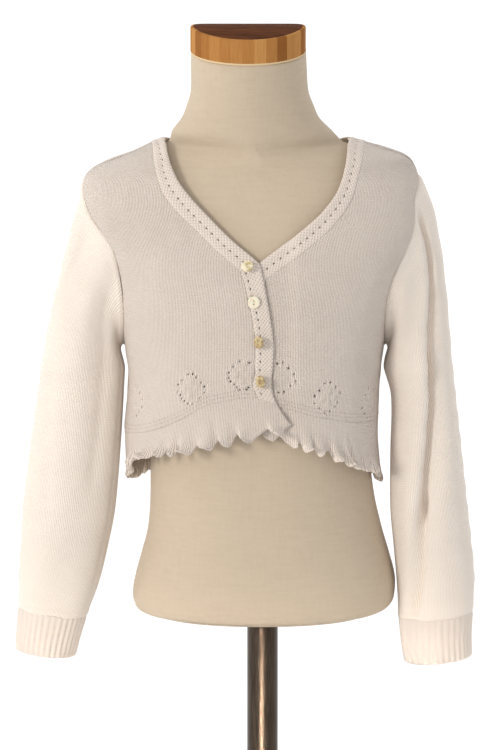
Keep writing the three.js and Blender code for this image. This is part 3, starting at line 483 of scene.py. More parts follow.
def mesh_object(name, points, faces, uv, material, period=None, marks=None):
    """A smooth mesh. Where a closed strip starts again, its faces' UVs go on by one period."""
    used = np.unique(np.concatenate([f.ravel() for f in faces]))
    place = np.full(len(points), -1)
    place[used] = np.arange(len(used))
    corners = [f for part in faces for f in place[part].tolist()]
    mesh = bpy.data.meshes.new(name)
    mesh.from_pydata((points[used] * MM).tolist(), [], corners)
    values = []
    for part in faces:
        flat = uv[part].copy()
        if period:
            wrapped = flat[..., 0].max(1, keepdims=True) - flat[..., 0] > period / 2
            flat[..., 0] += wrapped * period
        values.append(flat.reshape(-1, 2))
    layer = mesh.uv_layers.new(name="stitches")
    layer.data.foreach_set("uv", (np.concatenate(values) * UV_SCALE).ravel())
    if marks is not None:
        layer = mesh.attributes.new("edge", "FLOAT", "POINT")
        layer.data.foreach_set("value", marks[used])
    mesh.shade_smooth()
    mesh.materials.append(material)
    piece = bpy.data.objects.new(name, mesh)
    bpy.context.scene.collection.objects.link(piece)
    return piece


def open_eyelets(grids, uv, places, radius, stretch):
    """Draws the stitches round each eyelet into a ring, and returns the middles to cut out."""
    middles = []
    count, wide = grids[0].shape[:2]
    taken = np.zeros((count, wide), bool)
    for place in places:
        away = np.hypot(uv[..., 0] - place[0], uv[..., 1] - place[1])
        j, i = np.unravel_index(np.argmin(away), away.shape)
        if away[j, i] > EYELET_REACH or not (1 < j < count - 2 and 1 < i < wide - 2):
            continue
        block = slice(j - 1, j + 2), slice(i - 1, i + 2)
        if taken[block].any():
            continue
        taken[block] = True
        for grid in grids:
            middle = grid[j, i].copy()
            size = 1 + 0.25 * math.sin(7 * j + 3 * i) if stretch == 1 else 1
            along = unit(grid[j, i + 1] - grid[j, i - 1]) * (stretch - 1)
            for a in (j - 1, j, j + 1):
                for b in (i - 1, i, i + 1):
                    if (a, b) != (j, i):
                        ring = unit(grid[a, b] - middle) * radius * size
                        grid[a, b] = middle + ring + along * (ring @ along) / max(stretch - 1, 1e-6)
        middles.append(j * wide + i)
    return np.array(middles, int)


def cloth(node, grid, u, v, material, wall=WALL, lift=0.0, free="", sewn="",
          closed=False, eyelets=(), radius=1.0, stretch=1.0, period=None, rows_at=None):
    """A closed shell of cloth on a grid of points, over the node it is named after. It curls in
    at its free edges and dips at the sewn ones. The purl rows lie by the distance rows_at."""
    centre = grid.mean(1, keepdims=True) if closed else grid * [0, 0, 1] + [MIDDLE_X, 0, 0]
    normals, outward = grid_normals(grid, closed, centre)
    uv = np.stack(matched(u, v), -1)
    curl = EDGE_CURL * wall * (1 - np.clip(edge_distance(grid, free) / EDGE_SOFT, 0, 1)) ** 2
    curl += SEAM_DIP * (1 - np.clip(edge_distance(grid, sewn) / EDGE_SOFT, 0, 1))
    outer = grid + normals * (lift - curl)[..., None]
    inner = grid + normals * (lift - wall + curl)[..., None]
    middles = open_eyelets([outer, inner], uv, eyelets, radius, stretch)
    count, wide = grid.shape[:2]
    quads = grid_quads(count, wide, closed)
    if not outward:
        quads = quads[:, ::-1]
    quads = quads[~np.isin(quads, middles).any(1)]
    total = count * wide
    edges = np.concatenate([quads[:, [k, (k + 1) % 4]] for k in range(4)])
    keys = edges.min(1) * total + edges.max(1)
    _, first, times = np.unique(keys, return_index=True, return_counts=True)
    rim = edges[first[times == 1]]
    rims = np.stack([rim[:, 1], rim[:, 0], rim[:, 0] + total, rim[:, 1] + total], -1)
    faces = [quads, quads[:, ::-1] + total, rims]
    points = np.concatenate([outer.reshape(-1, 3), inner.reshape(-1, 3)])
    both = np.concatenate([uv.reshape(-1, 2)] * 2)
    if rows_at is None:
        rows_at = np.full(grid.shape[:2], NO_ROWS)
    marks = np.concatenate([rows_at.ravel()] * 2)
    piece = mesh_object("knit_" + node, points, faces, both, material, period, marks)
    finish_piece(piece, node)


# Materials

class Nodes:
    """A short way to write the nodes of a material or of the world."""

    def __init__(self, owner, shader="Principled BSDF"):
        owner.use_nodes = True
        self.owner = owner
        self.tree = owner.node_tree
        self.shader = self.tree.nodes[shader]

    def add(self, kind, **settings):
        node = self.tree.nodes.new(kind)
        for key, value in settings.items():
            setattr(node, key, value)
        return node

    def put(self, value, socket):
        if isinstance(value, bpy.types.NodeSocket):
            self.tree.links.new(value, socket)
        else:
            socket.default_value = value

    def math(self, operation, *values):
        node = self.add("ShaderNodeMath", operation=operation)
        for value, socket in zip(values, node.inputs):
            self.put(value, socket)
        return node.outputs[0]

    def total(self, *parts, base=0.0):
        """A sum of values, each times its share."""
        for value, share in parts:
            base = self.math("MULTIPLY_ADD", value, share, base)
        return base

    def wave(self, value, length):
        """A sine along the cloth."""
        return self.math("SINE", self.math("MULTIPLY", value, 2 * PI / UV_SCALE / length))

    def mix(self, share, a, b):
        node = self.add("ShaderNodeMix", data_type="RGBA")
        self.put(share, node.inputs["Factor"])
        for value, socket in ((a, node.inputs[6]), (b, node.inputs[7])):
            self.put(value if isinstance(value, bpy.types.NodeSocket) else (*value, 1), socket)
        return node.outputs[2]

    def ramp(self, value, stops):
        node = self.add("ShaderNodeValToRGB")
        points = node.color_ramp.elements
        while len(points) < len(stops):
            points.new(0.5)
        for point, (place, color) in zip(points, stops):
            point.position = place
            point.color = (*color, 1)
        self.put(value, node.inputs[0])
        return node.outputs[0]

    def noise(self, scale, vector, detail=2.0, roughness=0.5):
        node = self.add("ShaderNodeTexNoise")
        for name, value in (("Scale", scale), ("Vector", vector), ("Detail", detail),
                            ("Roughness", roughness)):
            self.put(value, node.inputs[name])
        return node.outputs[0]

    def place(self):
        return self.add("ShaderNodeTexCoord").outputs["Object"]

    def stretched(self, *scale):
        node = self.add("ShaderNodeMapping")
        self.put(self.place(), node.inputs[0])
        self.put(scale, node.inputs["Scale"])
        return node.outputs[0]

    def split(self, vector):
        node = self.add("ShaderNodeSeparateXYZ")
        self.put(vector, node.inputs[0])
        return node.outputs[0], node.outputs[1]

    def uv(self):
        return self.split(self.add("ShaderNodeUVMap", uv_map="stitches").outputs[0])

    def set(self, **values):
        for name, value in values.items():
            self.put(value, self.shader.inputs[name.replace("_", " ")])

    def relief(self, height, distance, strength):
        node = self.add("ShaderNodeBump")
        self.put(strength, node.inputs["Strength"])
        self.put(distance, node.inputs["Distance"])
        self.put(height, node.inputs["Height"])
        self.put(node.outputs[0], self.shader.inputs["Normal"])


def new_material(name):
    return Nodes(bpy.data.materials.new(name))


YARN_LIGHT = (0.87, 0.77, 0.685)
# The yarn as painted in the shade of the hollows between stitches
YARN_IN_GROOVE_SHADE = (0.43, 0.335, 0.27)


def knit(name, wale=WALE, course=COURSE, seed=False, gain=1.0, soft=0.0):
    """Cotton stocking stitch with purl rows along marked edges, or seed stitch."""
    n = new_material(name)
    u, v = n.uv()
    if seed:
        checks = n.math("MULTIPLY", n.wave(u, 2 * wale), n.wave(v, 2 * course))
        height = n.math("MULTIPLY_ADD", checks, 0.5, 0.5)
    else:
        across = n.math("FRACT", n.math("MULTIPLY", u, 1 / UV_SCALE / wale))
        along = n.math("MULTIPLY", v, 1 / UV_SCALE / course)
        leg = n.math("ABSOLUTE", n.math("SUBTRACT", across, 0.5))
        column = n.math("SINE", n.math("MULTIPLY", leg, 2 * PI))
        slanted = n.math("FRACT", n.math("MULTIPLY_ADD", leg, 1.2, along))
        loop = n.math("SINE", n.math("MULTIPLY", slanted, PI))
        height = n.math("MULTIPLY", column, n.math("MULTIPLY_ADD", loop, 0.6, 0.4))
        edge = n.add("ShaderNodeAttribute", attribute_name="edge").outputs["Fac"]
        purls = n.math("GREATER_THAN", n.wave(u, PURL_PITCH), 0.1)
        for distance in PURL_ROWS:
            row = n.math("MULTIPLY", n.math("COMPARE", edge, distance, 0.5), purls)
            height = n.math("MULTIPLY_ADD", row, -0.3, height)
    fuzz = n.noise(900.0, n.place(), 3.0, 0.65)
    height = n.math("MULTIPLY_ADD", fuzz, 0.4, height)
    # Colour follows the stitch height: painted shade in the hollows between stitches and in the purl
    # dimples, a little painted light on the raised yarn, over random tone
    shade = n.total((height, 0.62), (n.noise(30.0, n.place(), 4.0, 0.6), 0.2))
    groove_shade, light, pale = (
        tuple(min(c * share, 0.97) for c in tone)
        for tone, share in ((YARN_IN_GROOVE_SHADE, gain), (YARN_LIGHT, gain), (YARN_LIGHT, 1.05 * gain)))
    # soft draws the painted shade of the hollows towards the lit yarn
    groove_shade = tuple(c + (d - c) * soft for c, d in zip(groove_shade, light))
    color = n.ramp(shade, [(0.12, groove_shade), (0.5, light), (1.0, pale)])
    n.set(Base_Color=color, Roughness=0.9, Sheen_Weight=0.15, Sheen_Roughness=0.5,
          Subsurface_Weight=0.2, Subsurface_Scale=0.0008, Subsurface_Radius=(1.0, 0.9, 0.8))
    n.relief(height, 0.0008, 1.0 - 0.6 * soft)
    return n.owner


def linen():
    n = new_material("linen")
    u, v = n.uv()
    weave = n.math("MULTIPLY", n.wave(u, LINEN_THREAD), n.wave(v, LINEN_THREAD))
    shade = n.total((n.noise(60.0, n.stretched(1, 1, 6), 4.0, 0.7), 0.45),
                    (n.noise(60.0, n.stretched(8, 8, 1), 4.0, 0.7), 0.3),
                    (n.noise(9.0, n.place(), 3.0), 0.25))
    color = n.ramp(shade, [(0.2, (0.50, 0.40, 0.29)), (0.5, (0.575, 0.47, 0.35)),
                           (0.8, (0.62, 0.52, 0.395))])
    n.set(Base_Color=color, Roughness=0.9, Sheen_Weight=0.1)
    n.relief(n.math("MULTIPLY_ADD", weave, 0.3, shade), 0.0004, 0.5)
    return n.owner


def wood():
    """Upright strips of wood, a top painted darker as painted shade, and a pale lower rim."""
    n = new_material("cap_wood")
    u, v = n.uv()
    strip = n.add("ShaderNodeTexWhiteNoise", noise_dimensions="1D")
    n.put(n.math("FLOOR", n.math("MULTIPLY", u, 1 / UV_SCALE / WOOD_STRIP)), strip.inputs["W"])
    grain = n.noise(120.0, n.stretched(6, 6, 0.6), 5.0, 0.6)
    shade = n.total((strip.outputs["Value"], 0.6), (grain, 0.4))
    side = n.ramp(shade, [(0.15, (0.25, 0.095, 0.024)), (0.5, (0.39, 0.17, 0.048)),
                          (0.85, (0.54, 0.275, 0.09))])
    # The top's grain is painted dark: painted shade where the top faces away from the light
    top = n.ramp(n.noise(40.0, n.stretched(1.2, 5, 5), 4.0, 0.6),
                 [(0.3, (0.055, 0.017, 0.006)), (0.6, (0.12, 0.038, 0.012)),
                  (0.8, (0.18, 0.06, 0.02))])
    color = n.mix(n.math("GREATER_THAN", v, 1.0), side, top)
    color = n.mix(n.math("LESS_THAN", v, CAP_PALE * UV_SCALE), color, (0.72, 0.55, 0.33))
    n.set(Base_Color=color, Roughness=0.75, Specular_IOR_Level=0.04)
    n.relief(grain, 0.0003, 0.35)
    return n.owner


def steel():
    n = new_material("stand_steel")
    brushed = n.noise(300.0, n.stretched(4, 4, 0.15), 3.0, 0.6)
    color = n.ramp(brushed, [(0.3, (0.03, 0.021, 0.015)), (0.7, (0.09, 0.068, 0.05))])
    n.set(Base_Color=color, Metallic=0.9, Roughness=n.math("MULTIPLY_ADD", brushed, 0.15, 0.25))
    n.relief(brushed, 0.0002, 0.3)
    return n.owner


def shell(name, painted_reflection_share):
    """Mother-of-pearl. Its second argument, from 0 to 1, paints more of the cloud a darker golden
    brown: painted reflection for a button turned away.
    """
    n = new_material(name)
    cloud = n.noise(260.0, n.place(), 4.0, 0.6)
    color = n.ramp(cloud, [(0.1 + 0.3 * painted_reflection_share, (0.30, 0.19, 0.065)),
                           (0.3 + 0.3 * painted_reflection_share, (0.56, 0.44, 0.22)),
                           (0.5 + 0.35 * painted_reflection_share, (0.88, 0.82, 0.64))])
    n.set(Base_Color=color, Roughness=0.22, Coat_Weight=0.6, Coat_Roughness=0.08,
          Subsurface_Weight=0.1, Subsurface_Scale=0.002)
    n.relief(cloud, 0.0003, 0.2)
    return n.owner


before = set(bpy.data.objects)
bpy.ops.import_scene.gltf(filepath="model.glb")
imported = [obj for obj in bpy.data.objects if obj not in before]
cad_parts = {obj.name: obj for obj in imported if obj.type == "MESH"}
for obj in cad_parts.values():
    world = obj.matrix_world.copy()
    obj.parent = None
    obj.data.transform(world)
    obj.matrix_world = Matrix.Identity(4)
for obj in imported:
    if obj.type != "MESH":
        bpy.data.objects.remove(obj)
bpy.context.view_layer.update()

KNIT = knit("knit")
# The sleeves' knit is a brighter copy of the same yarn: painted light for the backlight glowing
# through the empty sleeves
SLEEVE_KNIT_PAINTED_GLOW = knit("knit_sleeve_painted_glow", gain=1.1, soft=0.55)
SEED = knit("knit_seed", wale=1.6, course=1.5, seed=True, gain=0.89, soft=0.3)
RIB = knit("knit_rib", wale=1.7, gain=0.98, soft=0.6)
LINEN, WOOD, STEEL = linen(), wood(), steel()
# Copies of one shell: buttons 3 and 4, turned edge-on, get the most painted reflection, and button
# 2, facing the front, none
SHELLS = [shell(f"shell_{k + 1}", painted_reflection_share) for k, painted_reflection_share in enumerate((0.3, 0.0, 1.0, 0.9))]


def finish_piece(piece, node):
    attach(piece, "root")
    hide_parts(node)


# Body panels

RIGHT_SIDE, LEFT_SIDE = PI, 0.0
SIDES = {-1: RIGHT_SIDE, 1: LEFT_SIDE}


def seam_height(table):
    """Height of a waist seam at each turn, from a table of places seen from the front."""

    def height(turn):
        z = np.full(np.shape(turn), table["z"][0], float)
        for _ in range(4):
            z = read(table, "x", body_point(turn, z)[..., 0], "z")
        return z

    return height


def back_seam(turn):
    return read(WAIST_SEAM_BACK, "turn", 1 + np.asarray(turn, float) / PI, "z")


def armhole(table, behind, side):
    end = SIDES[side] * (-1 if behind else 1)
    turns = [end, *turn_at(table["x"], table["z"], behind), end]
    return path_of(turns, [TIP, *table["z"], ARMPIT])


ARMHOLES = {
    -1: (armhole(ARMHOLE_FRONT_RIGHT, False, -1), armhole(ARMHOLE_BACK_RIGHT, True, -1)),
    1: (armhole(ARMHOLE_FRONT_LEFT, False, 1), armhole(ARMHOLE_BACK_LEFT, True, 1)),
}


def panel_side(side, behind, seam):
    """A panel's outer edge, up the side seam and round the armhole."""
    flip = -1 if behind else 1
    turn = SIDES[side] * flip
    edge = beside(ARMHOLES[side][behind], SEAM * side * flip)
    tip, armpit = edge(0.0)[1], edge(1.0)[1]
    hug = pinned(reversed_path(edge), (turn, armpit), (turn, tip), 12)
    return joined((5, line((turn, float(seam(turn))), (turn, armpit))), (12, hug))


def edge_path(table, x, z):
    return path_of(turn_at(table[x], table[z]), table[z])


def end_height(path):
    return float(path(np.array([1.0]))[1][0])


def neck_path(table, x, z, side_turn):
    """An edge of the neckline on one front, from the foot of the V up to the shoulder."""
    across, heights = path_of(table[x], table[z])(np.linspace(0, 1, 41))
    turns = turn_at(across, heights)
    turns[-1] = side_turn
    return path_of(turns, heights)


def neck_behind(x, z):
    end = NECK_RIGHT[z][-1]
    turns = [-RIGHT_SIDE, *turn_at(NECK_BACK[x], NECK_BACK[z], True), -LEFT_SIDE]
    return path_of(turns, [end, *NECK_BACK[z], end])


def motif(x, z, behind=False):
    """Middle of one flower, as cloth lengths on its panel."""
    turn = turn_at(x, z, behind)
    return float(arc(turn, z, -PI / 2 if behind else PI / 2)), z


def eyelets_round(middle):
    """A diamond of eyelets, broken at its corners."""
    places = []
    for k in range(4):
        start, end = (np.array([12.6 * math.cos(a), 13.2 * math.sin(a)])
                      for a in (k * PI / 2, (k + 1) * PI / 2))
        for share in (0.2, 0.36, 0.52, 0.68, 0.84):
            spot = (start + (end - start) * share) * (1 + 0.12 * math.sin(PI * share))
            places.append((middle[0] + spot[0], middle[1] + spot[1]))
    return places


def flower(u, v, middle):
    """A small raised flower of four petals."""
    x, y = u - middle[0], v - middle[1]
    r, a = np.hypot(x, y), np.arctan2(y, x)
    petals = bump(r - 4.6, 2.3) * (0.55 + 0.45 * np.cos(4 * a))
    frame = bump(r - 9.6, 1.3)
    return 1.7 * petals + 1.2 * bump(r, 1.8) + 0.5 * frame


MOTIFS_RIGHT = [motif(-56.9, 558.5), motif(-15.9, 570.7), motif(-101, 541.5)]
MOTIFS_LEFT = [motif(14.5, 568.3), motif(51.1, 550.5), motif(84.2, 541.5)]
MOTIFS_BACK = [motif(x, 545 + 0.4 * abs(x + 8) ** 0.5, True) for x in (-97, -53, -8, 37, 82)]


def beads(length):
    """The bumps of purl stitches along a seam."""
    return 0.7 + 0.3 * np.cos(2 * PI * length / PURL_PITCH)


def panel(node, grid, turns, z, middle, motifs, seed):
    u, v = arc(turns, z, middle), surface_length(CLIMB, turns, z)
    lift = drift(u, v, seed, 55, 0.25) + drift(u, v, seed + 1, 16, 0.09)
    for place in motifs:
        lift += flower(u, v, place)
    near = edge_distance(grid, "bottom")
    lift += (0.35 * bump(near - 2.0, 0.9) + 0.25 * bump(near - 5.2, 0.8)) * beads(u)
    eyelets = [spot for place in motifs for spot in eyelets_round(place)]
    cloth(node, grid, u, v, KNIT, lift=lift, sewn=ALL_EDGES, eyelets=eyelets,
          radius=MOTIF_EYELET, rows_at=near)


def front_panel(node, side, seam_table, edges, neckline, motifs):
    seam, turn = seam_height(seam_table), SIDES[side]
    edge = beside(edge_path(edges, "band", "bandZ"), SEAM * side)
    neck = beside(neck_path(neckline, "outX", "outZ", turn), SEAM * side)
    foot, top = float(edge(0.0)[0]), float(neck(1.0)[1])
    first = panel_side(side, False, seam)
    last = joined((9, pinned(edge, (foot, float(seam(foot))), edge(1.0), 9)),
                  (8, pinned(neck, neck(0.0), (turn, top), 8)))
    shoulder = line((turn, end_height(first)), (turn, top))
    turns, z = coons(along_seam(turn, foot, seam), shoulder, first, last, 110, 170)
    tuck = tuck_at(turns, z) if side > 0 else np.zeros_like(z)
    grid = body_point(turns, z) - body_normal(turns, z) * tuck[..., None]
    panel(node, grid, turns, z, PI / 2, motifs, 3 + side)


def back_panel():
    first, last = (panel_side(side, True, back_seam) for side in (-1, 1))
    neck = beside(neck_behind("outX", "outZ"), -SEAM)
    neck_end = float(neck(0.0)[1])
    top = joined((6, line((-RIGHT_SIDE, end_height(first)), (-RIGHT_SIDE, neck_end))),
                 (12, neck),
                 (6, line((-LEFT_SIDE, neck_end), (-LEFT_SIDE, end_height(last)))))
    bottom = along_seam(-RIGHT_SIDE, -LEFT_SIDE, back_seam)
    turns, z = coons(bottom, top, first, last, 192, 136)
    panel("back", body_point(turns, z), turns, z, -PI / 2, MOTIFS_BACK, 11)


front_panel("front_right", -1, WAIST_SEAM_RIGHT, FRONT_EDGE_RIGHT, NECK_RIGHT, MOTIFS_RIGHT)
front_panel("front_left", 1, WAIST_SEAM_LEFT, FRONT_EDGE_LEFT, NECK_LEFT, MOTIFS_LEFT)
back_panel()


# Bands

def band(node, inner, outer, columns, seed, cut, eyelets_at, tucked_from=math.inf):
    """Seed stitch between two paths, with eyelets at a share of its width. Past the turn
    tucked_from it follows the left front under the right one."""
    lines = 16
    u, v = np.linspace(0, 1, columns + 1), np.linspace(0, 1, lines + 1)[:, None]
    (a, az), (b, bz) = inner(u), outer(u)
    turns, z = a + (b - a) * v, az + (bz - az) * v
    proud = BAND_PROUD - np.where(turns > tucked_from, tuck_at(turns, z), 0)
    grid = body_point(turns, z) + body_normal(turns, z) * proud[..., None]
    steps = np.linalg.norm(np.diff(grid[lines // 2], axis=0), axis=1)
    along = np.concatenate([[0], np.cumsum(steps)])
    width = np.linalg.norm(grid[-1] - grid[0], axis=1).mean()
    across, row = v * width, width * eyelets_at
    lift = drift(along, across, seed, 20, 0.1) - 0.2 * bump(across - row, 1.1)
    lift += 0.2 * bump(across - 2.6, 1.3) + 0.2 * bump(across - width + 2.6, 1.3)
    spots = [(s, row) for s in np.arange(6, along[-1] - 3, BAND_EYELET_PITCH)]
    cloth(node, grid, along, across, SEED, wall=BAND_WALL, lift=lift, free="bottom",
          sewn="top first last", eyelets=spots, radius=BAND_EYELET, stretch=BAND_EYELET_STRETCH)


def neck_band(cut):
    edges = []
    for x, z in (("x", "z"), ("outX", "outZ")):
        right, left = (neck_path(t, x, z, s) for t, s in ((NECK_RIGHT, PI), (NECK_LEFT, 0.0)))
        edges.append(joined((8, right), (12, onward(neck_behind(x, z))),
                            (8, onward(reversed_path(left)))))
    band("neckband", *edges, 620, 13, cut, 0.5, 2 * PI)


def front_band(node, table, neckline, seam_table, seed, cut, eyelets_at, tucked_from=math.inf):
    seam = seam_height(seam_table)
    edges = []
    for x, z, neck_x, neck_z in (("edge", "z", "x", "z"), ("band", "bandZ", "outX", "outZ")):
        path = edge_path(table, x, z)
        start, top = float(path(0.0)[0]), neckline[neck_z][0]
        edges.append(pinned(path, (start, float(seam(start)) + SEAM),
                            (turn_at(neckline[neck_x][0], top), top - SEAM), 9))
    band(node, *edges, 130, seed, cut, eyelets_at, tucked_from)


neck_band((0.58, 0.0145))
front_band("band_right", FRONT_EDGE_RIGHT, NECK_RIGHT, WAIST_SEAM_RIGHT, 15, (0.112, 0.0145), 0.72)
front_band("band_left", FRONT_EDGE_LEFT, NECK_LEFT, WAIST_SEAM_LEFT, 14, (0.106, 0.0145), 0.5,
           -math.inf)


# Peplum

def peplum(node, start, end, low_end, seam, hem, waves, side):
    """A ruffled hem from the waist seam down. It is plainer at the sides and where hidden."""
    u = np.linspace(0, 1, waves * 16 + 1)[None]
    down = np.linspace(0, 1, 41)[:, None]
    top_turn = start + (end - start) * u
    turn = top_turn + (low_end - end) * u**3 * down
    top = seam(top_turn) - SEAM
    z = top + (read(hem, "turn", u, "z") - top) * down
    aside = np.abs(np.cos(turn)) ** 6
    hidden = tuck = np.zeros_like(z)
    if side > 0:
        hidden = 1 - smooth(TUCK_TO_X + 4, TUCK_FROM_X + 4, body_point(turn, z)[..., 0])
        tuck = tuck_at(turn, z, down)
    flare = (FLARE * (1 - aside) + SIDE_FLARE * aside) * (1 - hidden)
    height = RUFFLE * (1 - aside) + SIDE_RUFFLE * aside
    swing = (height * (1 - hidden) + HIDDEN_RUFFLE * hidden) * down**3.2
    wave = u * waves
    phase = wave * 2 * PI + 0.8 * np.sin(wave * 1.9 + side) + 0.5 * np.sin(wave * 5.1)
    frill = np.sin(phase) * (1 + 0.3 * np.sin(wave * 2.7)) + 0.2 * down**3 * np.sin(2 * phase + 0.8)
    lobe = np.tanh(1.2 * frill) / math.tanh(1.2) * (1 + 0.35 * np.sin(wave * 4.3 + side))
    curl = np.clip((down - 0.7) / 0.3, 0, 1) ** 1.5 * (1 - 0.8 * aside) * (1 - hidden)
    normal = unit(body_normal(turn, z) * [1, 1, 0])
    out = -tuck + flare * down**1.5 + swing * lobe + 4.2 * curl * np.maximum(lobe, -0.2)
    grid = body_point(turn, z) + normal * out[..., None]
    grid[..., 2] += RUFFLE_LIFT * down**3 * np.cos(phase) + 3.0 * curl * np.maximum(-lobe, 0)
    grid[..., 2] += (3.6 * curl**3 - 1.2 * down**4) * np.maximum(lobe, 0)
    length = arc(turn, z, PI / 2 if start > -0.1 else -PI / 2)
    near, far = edge_distance(grid, "bottom"), edge_distance(grid, "top")
    lift = 0.3 * bump(near - 2.0, 0.9) * beads(length) + 0.4 * bump(far - 1.8, 1.2)
    cloth(node, grid, length, z, KNIT, wall=RUFFLE_WALL, lift=lift, free="top last",
          sewn="bottom first")


def edge_foot(table):
    return turn_at(table["edge"][0], table["z"][0])


peplum("peplum_right", RIGHT_SIDE, edge_foot(FRONT_EDGE_RIGHT), turn_at(22.6, 528),
       seam_height(WAIST_SEAM_RIGHT), HEM_RIGHT, 13, -1)
peplum("peplum_left", LEFT_SIDE, edge_foot(FRONT_EDGE_LEFT), turn_at(0, 510),
       seam_height(WAIST_SEAM_LEFT), HEM_LEFT, 12, 1)
peplum("peplum_back", -RIGHT_SIDE, -LEFT_SIDE, -LEFT_SIDE, back_seam, HEM_BACK, 20, -1)


# Sleeves and cuffs

def sleeve_ring(table, z, turn, side):
    """Places round a sleeve, from its outer side on, at one height or several."""
    turn, z = matched(turn, z)
    inside, outside, y, half, slope = (
        read(table, "z", z, name) for name in ("inside", "outside", "y", "half", "slope"))
    depth = np.zeros_like(z)
    if "crease" in table:
        off = turn - np.radians(read(table, "z", z, "crease"))
        depth = read(table, "z", z, "deep") * (
            bump(off, CREASE_WIDTH) + 0.45 * bump(off - PI, 1.2 * CREASE_WIDTH))
    reach = np.cos(turn) * (np.abs(outside - inside) / 2 - 0.8 * depth)
    thick = np.sin(turn) * (half - depth)
    return np.stack([(inside + outside) / 2 + side * reach, y - thick, z + slope * reach], -1)


# Creases: height and angle at the upper end and at the lower one, depth and width
CREASES_RIGHT = [
    (640, 128, 470, 118, 1.2, 5),
    (590, 158, 372, 150, 0.7, 1.8),
    (560, 40, 450, 62, 0.8, 6),
    (700, 60, 610, 30, 0.9, 5),
    (560, 250, 420, 230, 1.5, 6),
]
CREASES_LEFT = [
    (712, 38, 560, 67, 5.2, 3.4),
    (572, 66, 452, 101, 5.6, 3.2),
    (462, 99, 344, 133, 5.6, 3.2),
    (700, 58, 560, 84, -2.6, 7),
    (572, 83, 452, 118, -2.8, 7),
    (462, 117, 350, 152, -2.8, 7),
    (560, 250, 420, 280, 1.6, 6),
]


def sleeve_head(table, side, crown, pull, turn, lines):
    """The upper part, from the armhole down to the tube that the table gives."""
    front, behind = ARMHOLES[side]

    def loop(at):
        share = np.mod(at, 2 * PI) / PI
        a, az = front(np.minimum(share, 1))
        b, bz = behind(np.clip(2 - share, 0, 1))
        return np.where(share <= 1, a, b), np.where(share <= 1, az, bz)

    point, normal = body_point(*loop(turn)), body_normal(*loop(turn))
    along = unit(body_point(*loop(turn + 0.05)) - body_point(*loop(turn - 0.05)))
    away = unit(np.cross(along, normal) * -side)
    share = np.minimum(turn, 2 * PI - turn)[:, None] / PI
    high = 1 - smooth(0, 0.4, share)
    low = 1.1 * smooth(0.4, 0.95, share)
    lead = unit(away * 0.45 + np.array([0.3 * side, 0, -0.9]) + normal * low)
    lead = unit(lead + (unit(np.array([crown[0] * side, 0, crown[1]])) - lead) * high)
    point = point + lead * SEAM
    top = table["z"][-1]
    end = sleeve_ring(table, top, turn, side)
    below = unit(sleeve_ring(table, top - 5, turn, side) - end)
    reach = np.linalg.norm(end - point, axis=1, keepdims=True) * (1.1 + (pull - 1.1) * high)
    t = np.linspace(0, 1, lines + 1)[:, None, None]
    t2, t3 = t**2, t**3
    head = ((2 * t3 - 3 * t2 + 1) * point + (t3 - 2 * t2 + t) * reach * lead
            + (3 * t2 - 2 * t3) * end + (t3 - t2) * reach * below)
    for _ in range(10):
        soft = (np.roll(head, 1, 1) + np.roll(head, -1, 1)) / 2
        head += (soft - head) * 0.5 * smooth(0, 0.12, t) * (1 - smooth(0.8, 1, t))
    return head


def sleeve(node, table, side, crown, pull, creases):
    turn = circle(150)
    head = sleeve_head(table, side, crown, pull, turn, 80)
    heights = np.linspace(table["z"][-1], table["z"][0], 121)[1:, None]
    grid = np.concatenate([head, sleeve_ring(table, heights, turn[None], side)])
    steps = np.linalg.norm(np.diff(grid, axis=0), axis=2).mean(1)
    v = -np.concatenate([[0], np.cumsum(steps)])[:, None]
    lift = 0.35 * np.sin(2 * PI * v / 37 + 3 * np.sin(turn)) * np.sin(turn) ** 2
    lift = lift + 0.25 * np.sin(2 * PI * v / 19 + 2 * np.cos(turn) + 1) * np.cos(turn / 2) ** 2
    far, height = edge_distance(grid, "bottom top"), grid[..., 2]
    clear = smooth(0, 16, far)
    for z0, a0, z1, a1, deep, width in creases:
        place = a0 + (a1 - a0) * np.clip((z0 - height) / (z0 - z1), 0, 1)
        off = (np.mod(np.degrees(turn) - place + 180, 360) - 180) / 360 * SLEEVE_ROUND
        ends = smooth(z1 - 14, z1 + 10, height) * (1 - smooth(z0 - 10, z0 + 14, height))
        lift = lift - deep * bump(off, width) * ends * clear
    lift = lift + 0.5 * bump(far - 3.5, 2.2)
    cloth(node, grid, turn / (2 * PI) * SLEEVE_ROUND, v, SLEEVE_KNIT_PAINTED_GLOW, lift=lift,
          sewn="bottom top", closed=True, period=SLEEVE_ROUND)


def cuff(node, table, side):
    turn = circle(RIBS_PER_CUFF * 10)[None]
    heights = np.linspace(table["z"][-1] + CUFF_LAP, table["z"][0], 37)[:, None]
    rib = RIB_HEIGHT * (0.5 + 0.5 * np.cos(RIBS_PER_CUFF * turn))
    grid = sleeve_ring(table, heights, turn, side)
    lift = rib * (0.4 + 0.6 * smooth(0, 5, edge_distance(grid, "bottom")))
    period = RIBS_PER_CUFF * RIB_WIDTH
    cloth(node, grid, turn / (2 * PI) * period, heights, RIB, wall=CUFF_WALL, lift=lift,
          free="top", sewn="bottom", closed=True, period=period)


sleeve("sleeve_right", SLEEVE_RIGHT, -1, (0.25, -1), 1.0, CREASES_RIGHT)
sleeve("sleeve_left", SLEEVE_LEFT, 1, (0.8, -0.6), 0.5, CREASES_LEFT)
cuff("cuff_right", CUFF_RIGHT, -1)
cuff("cuff_left", CUFF_LEFT, 1)


# Dress form and stand

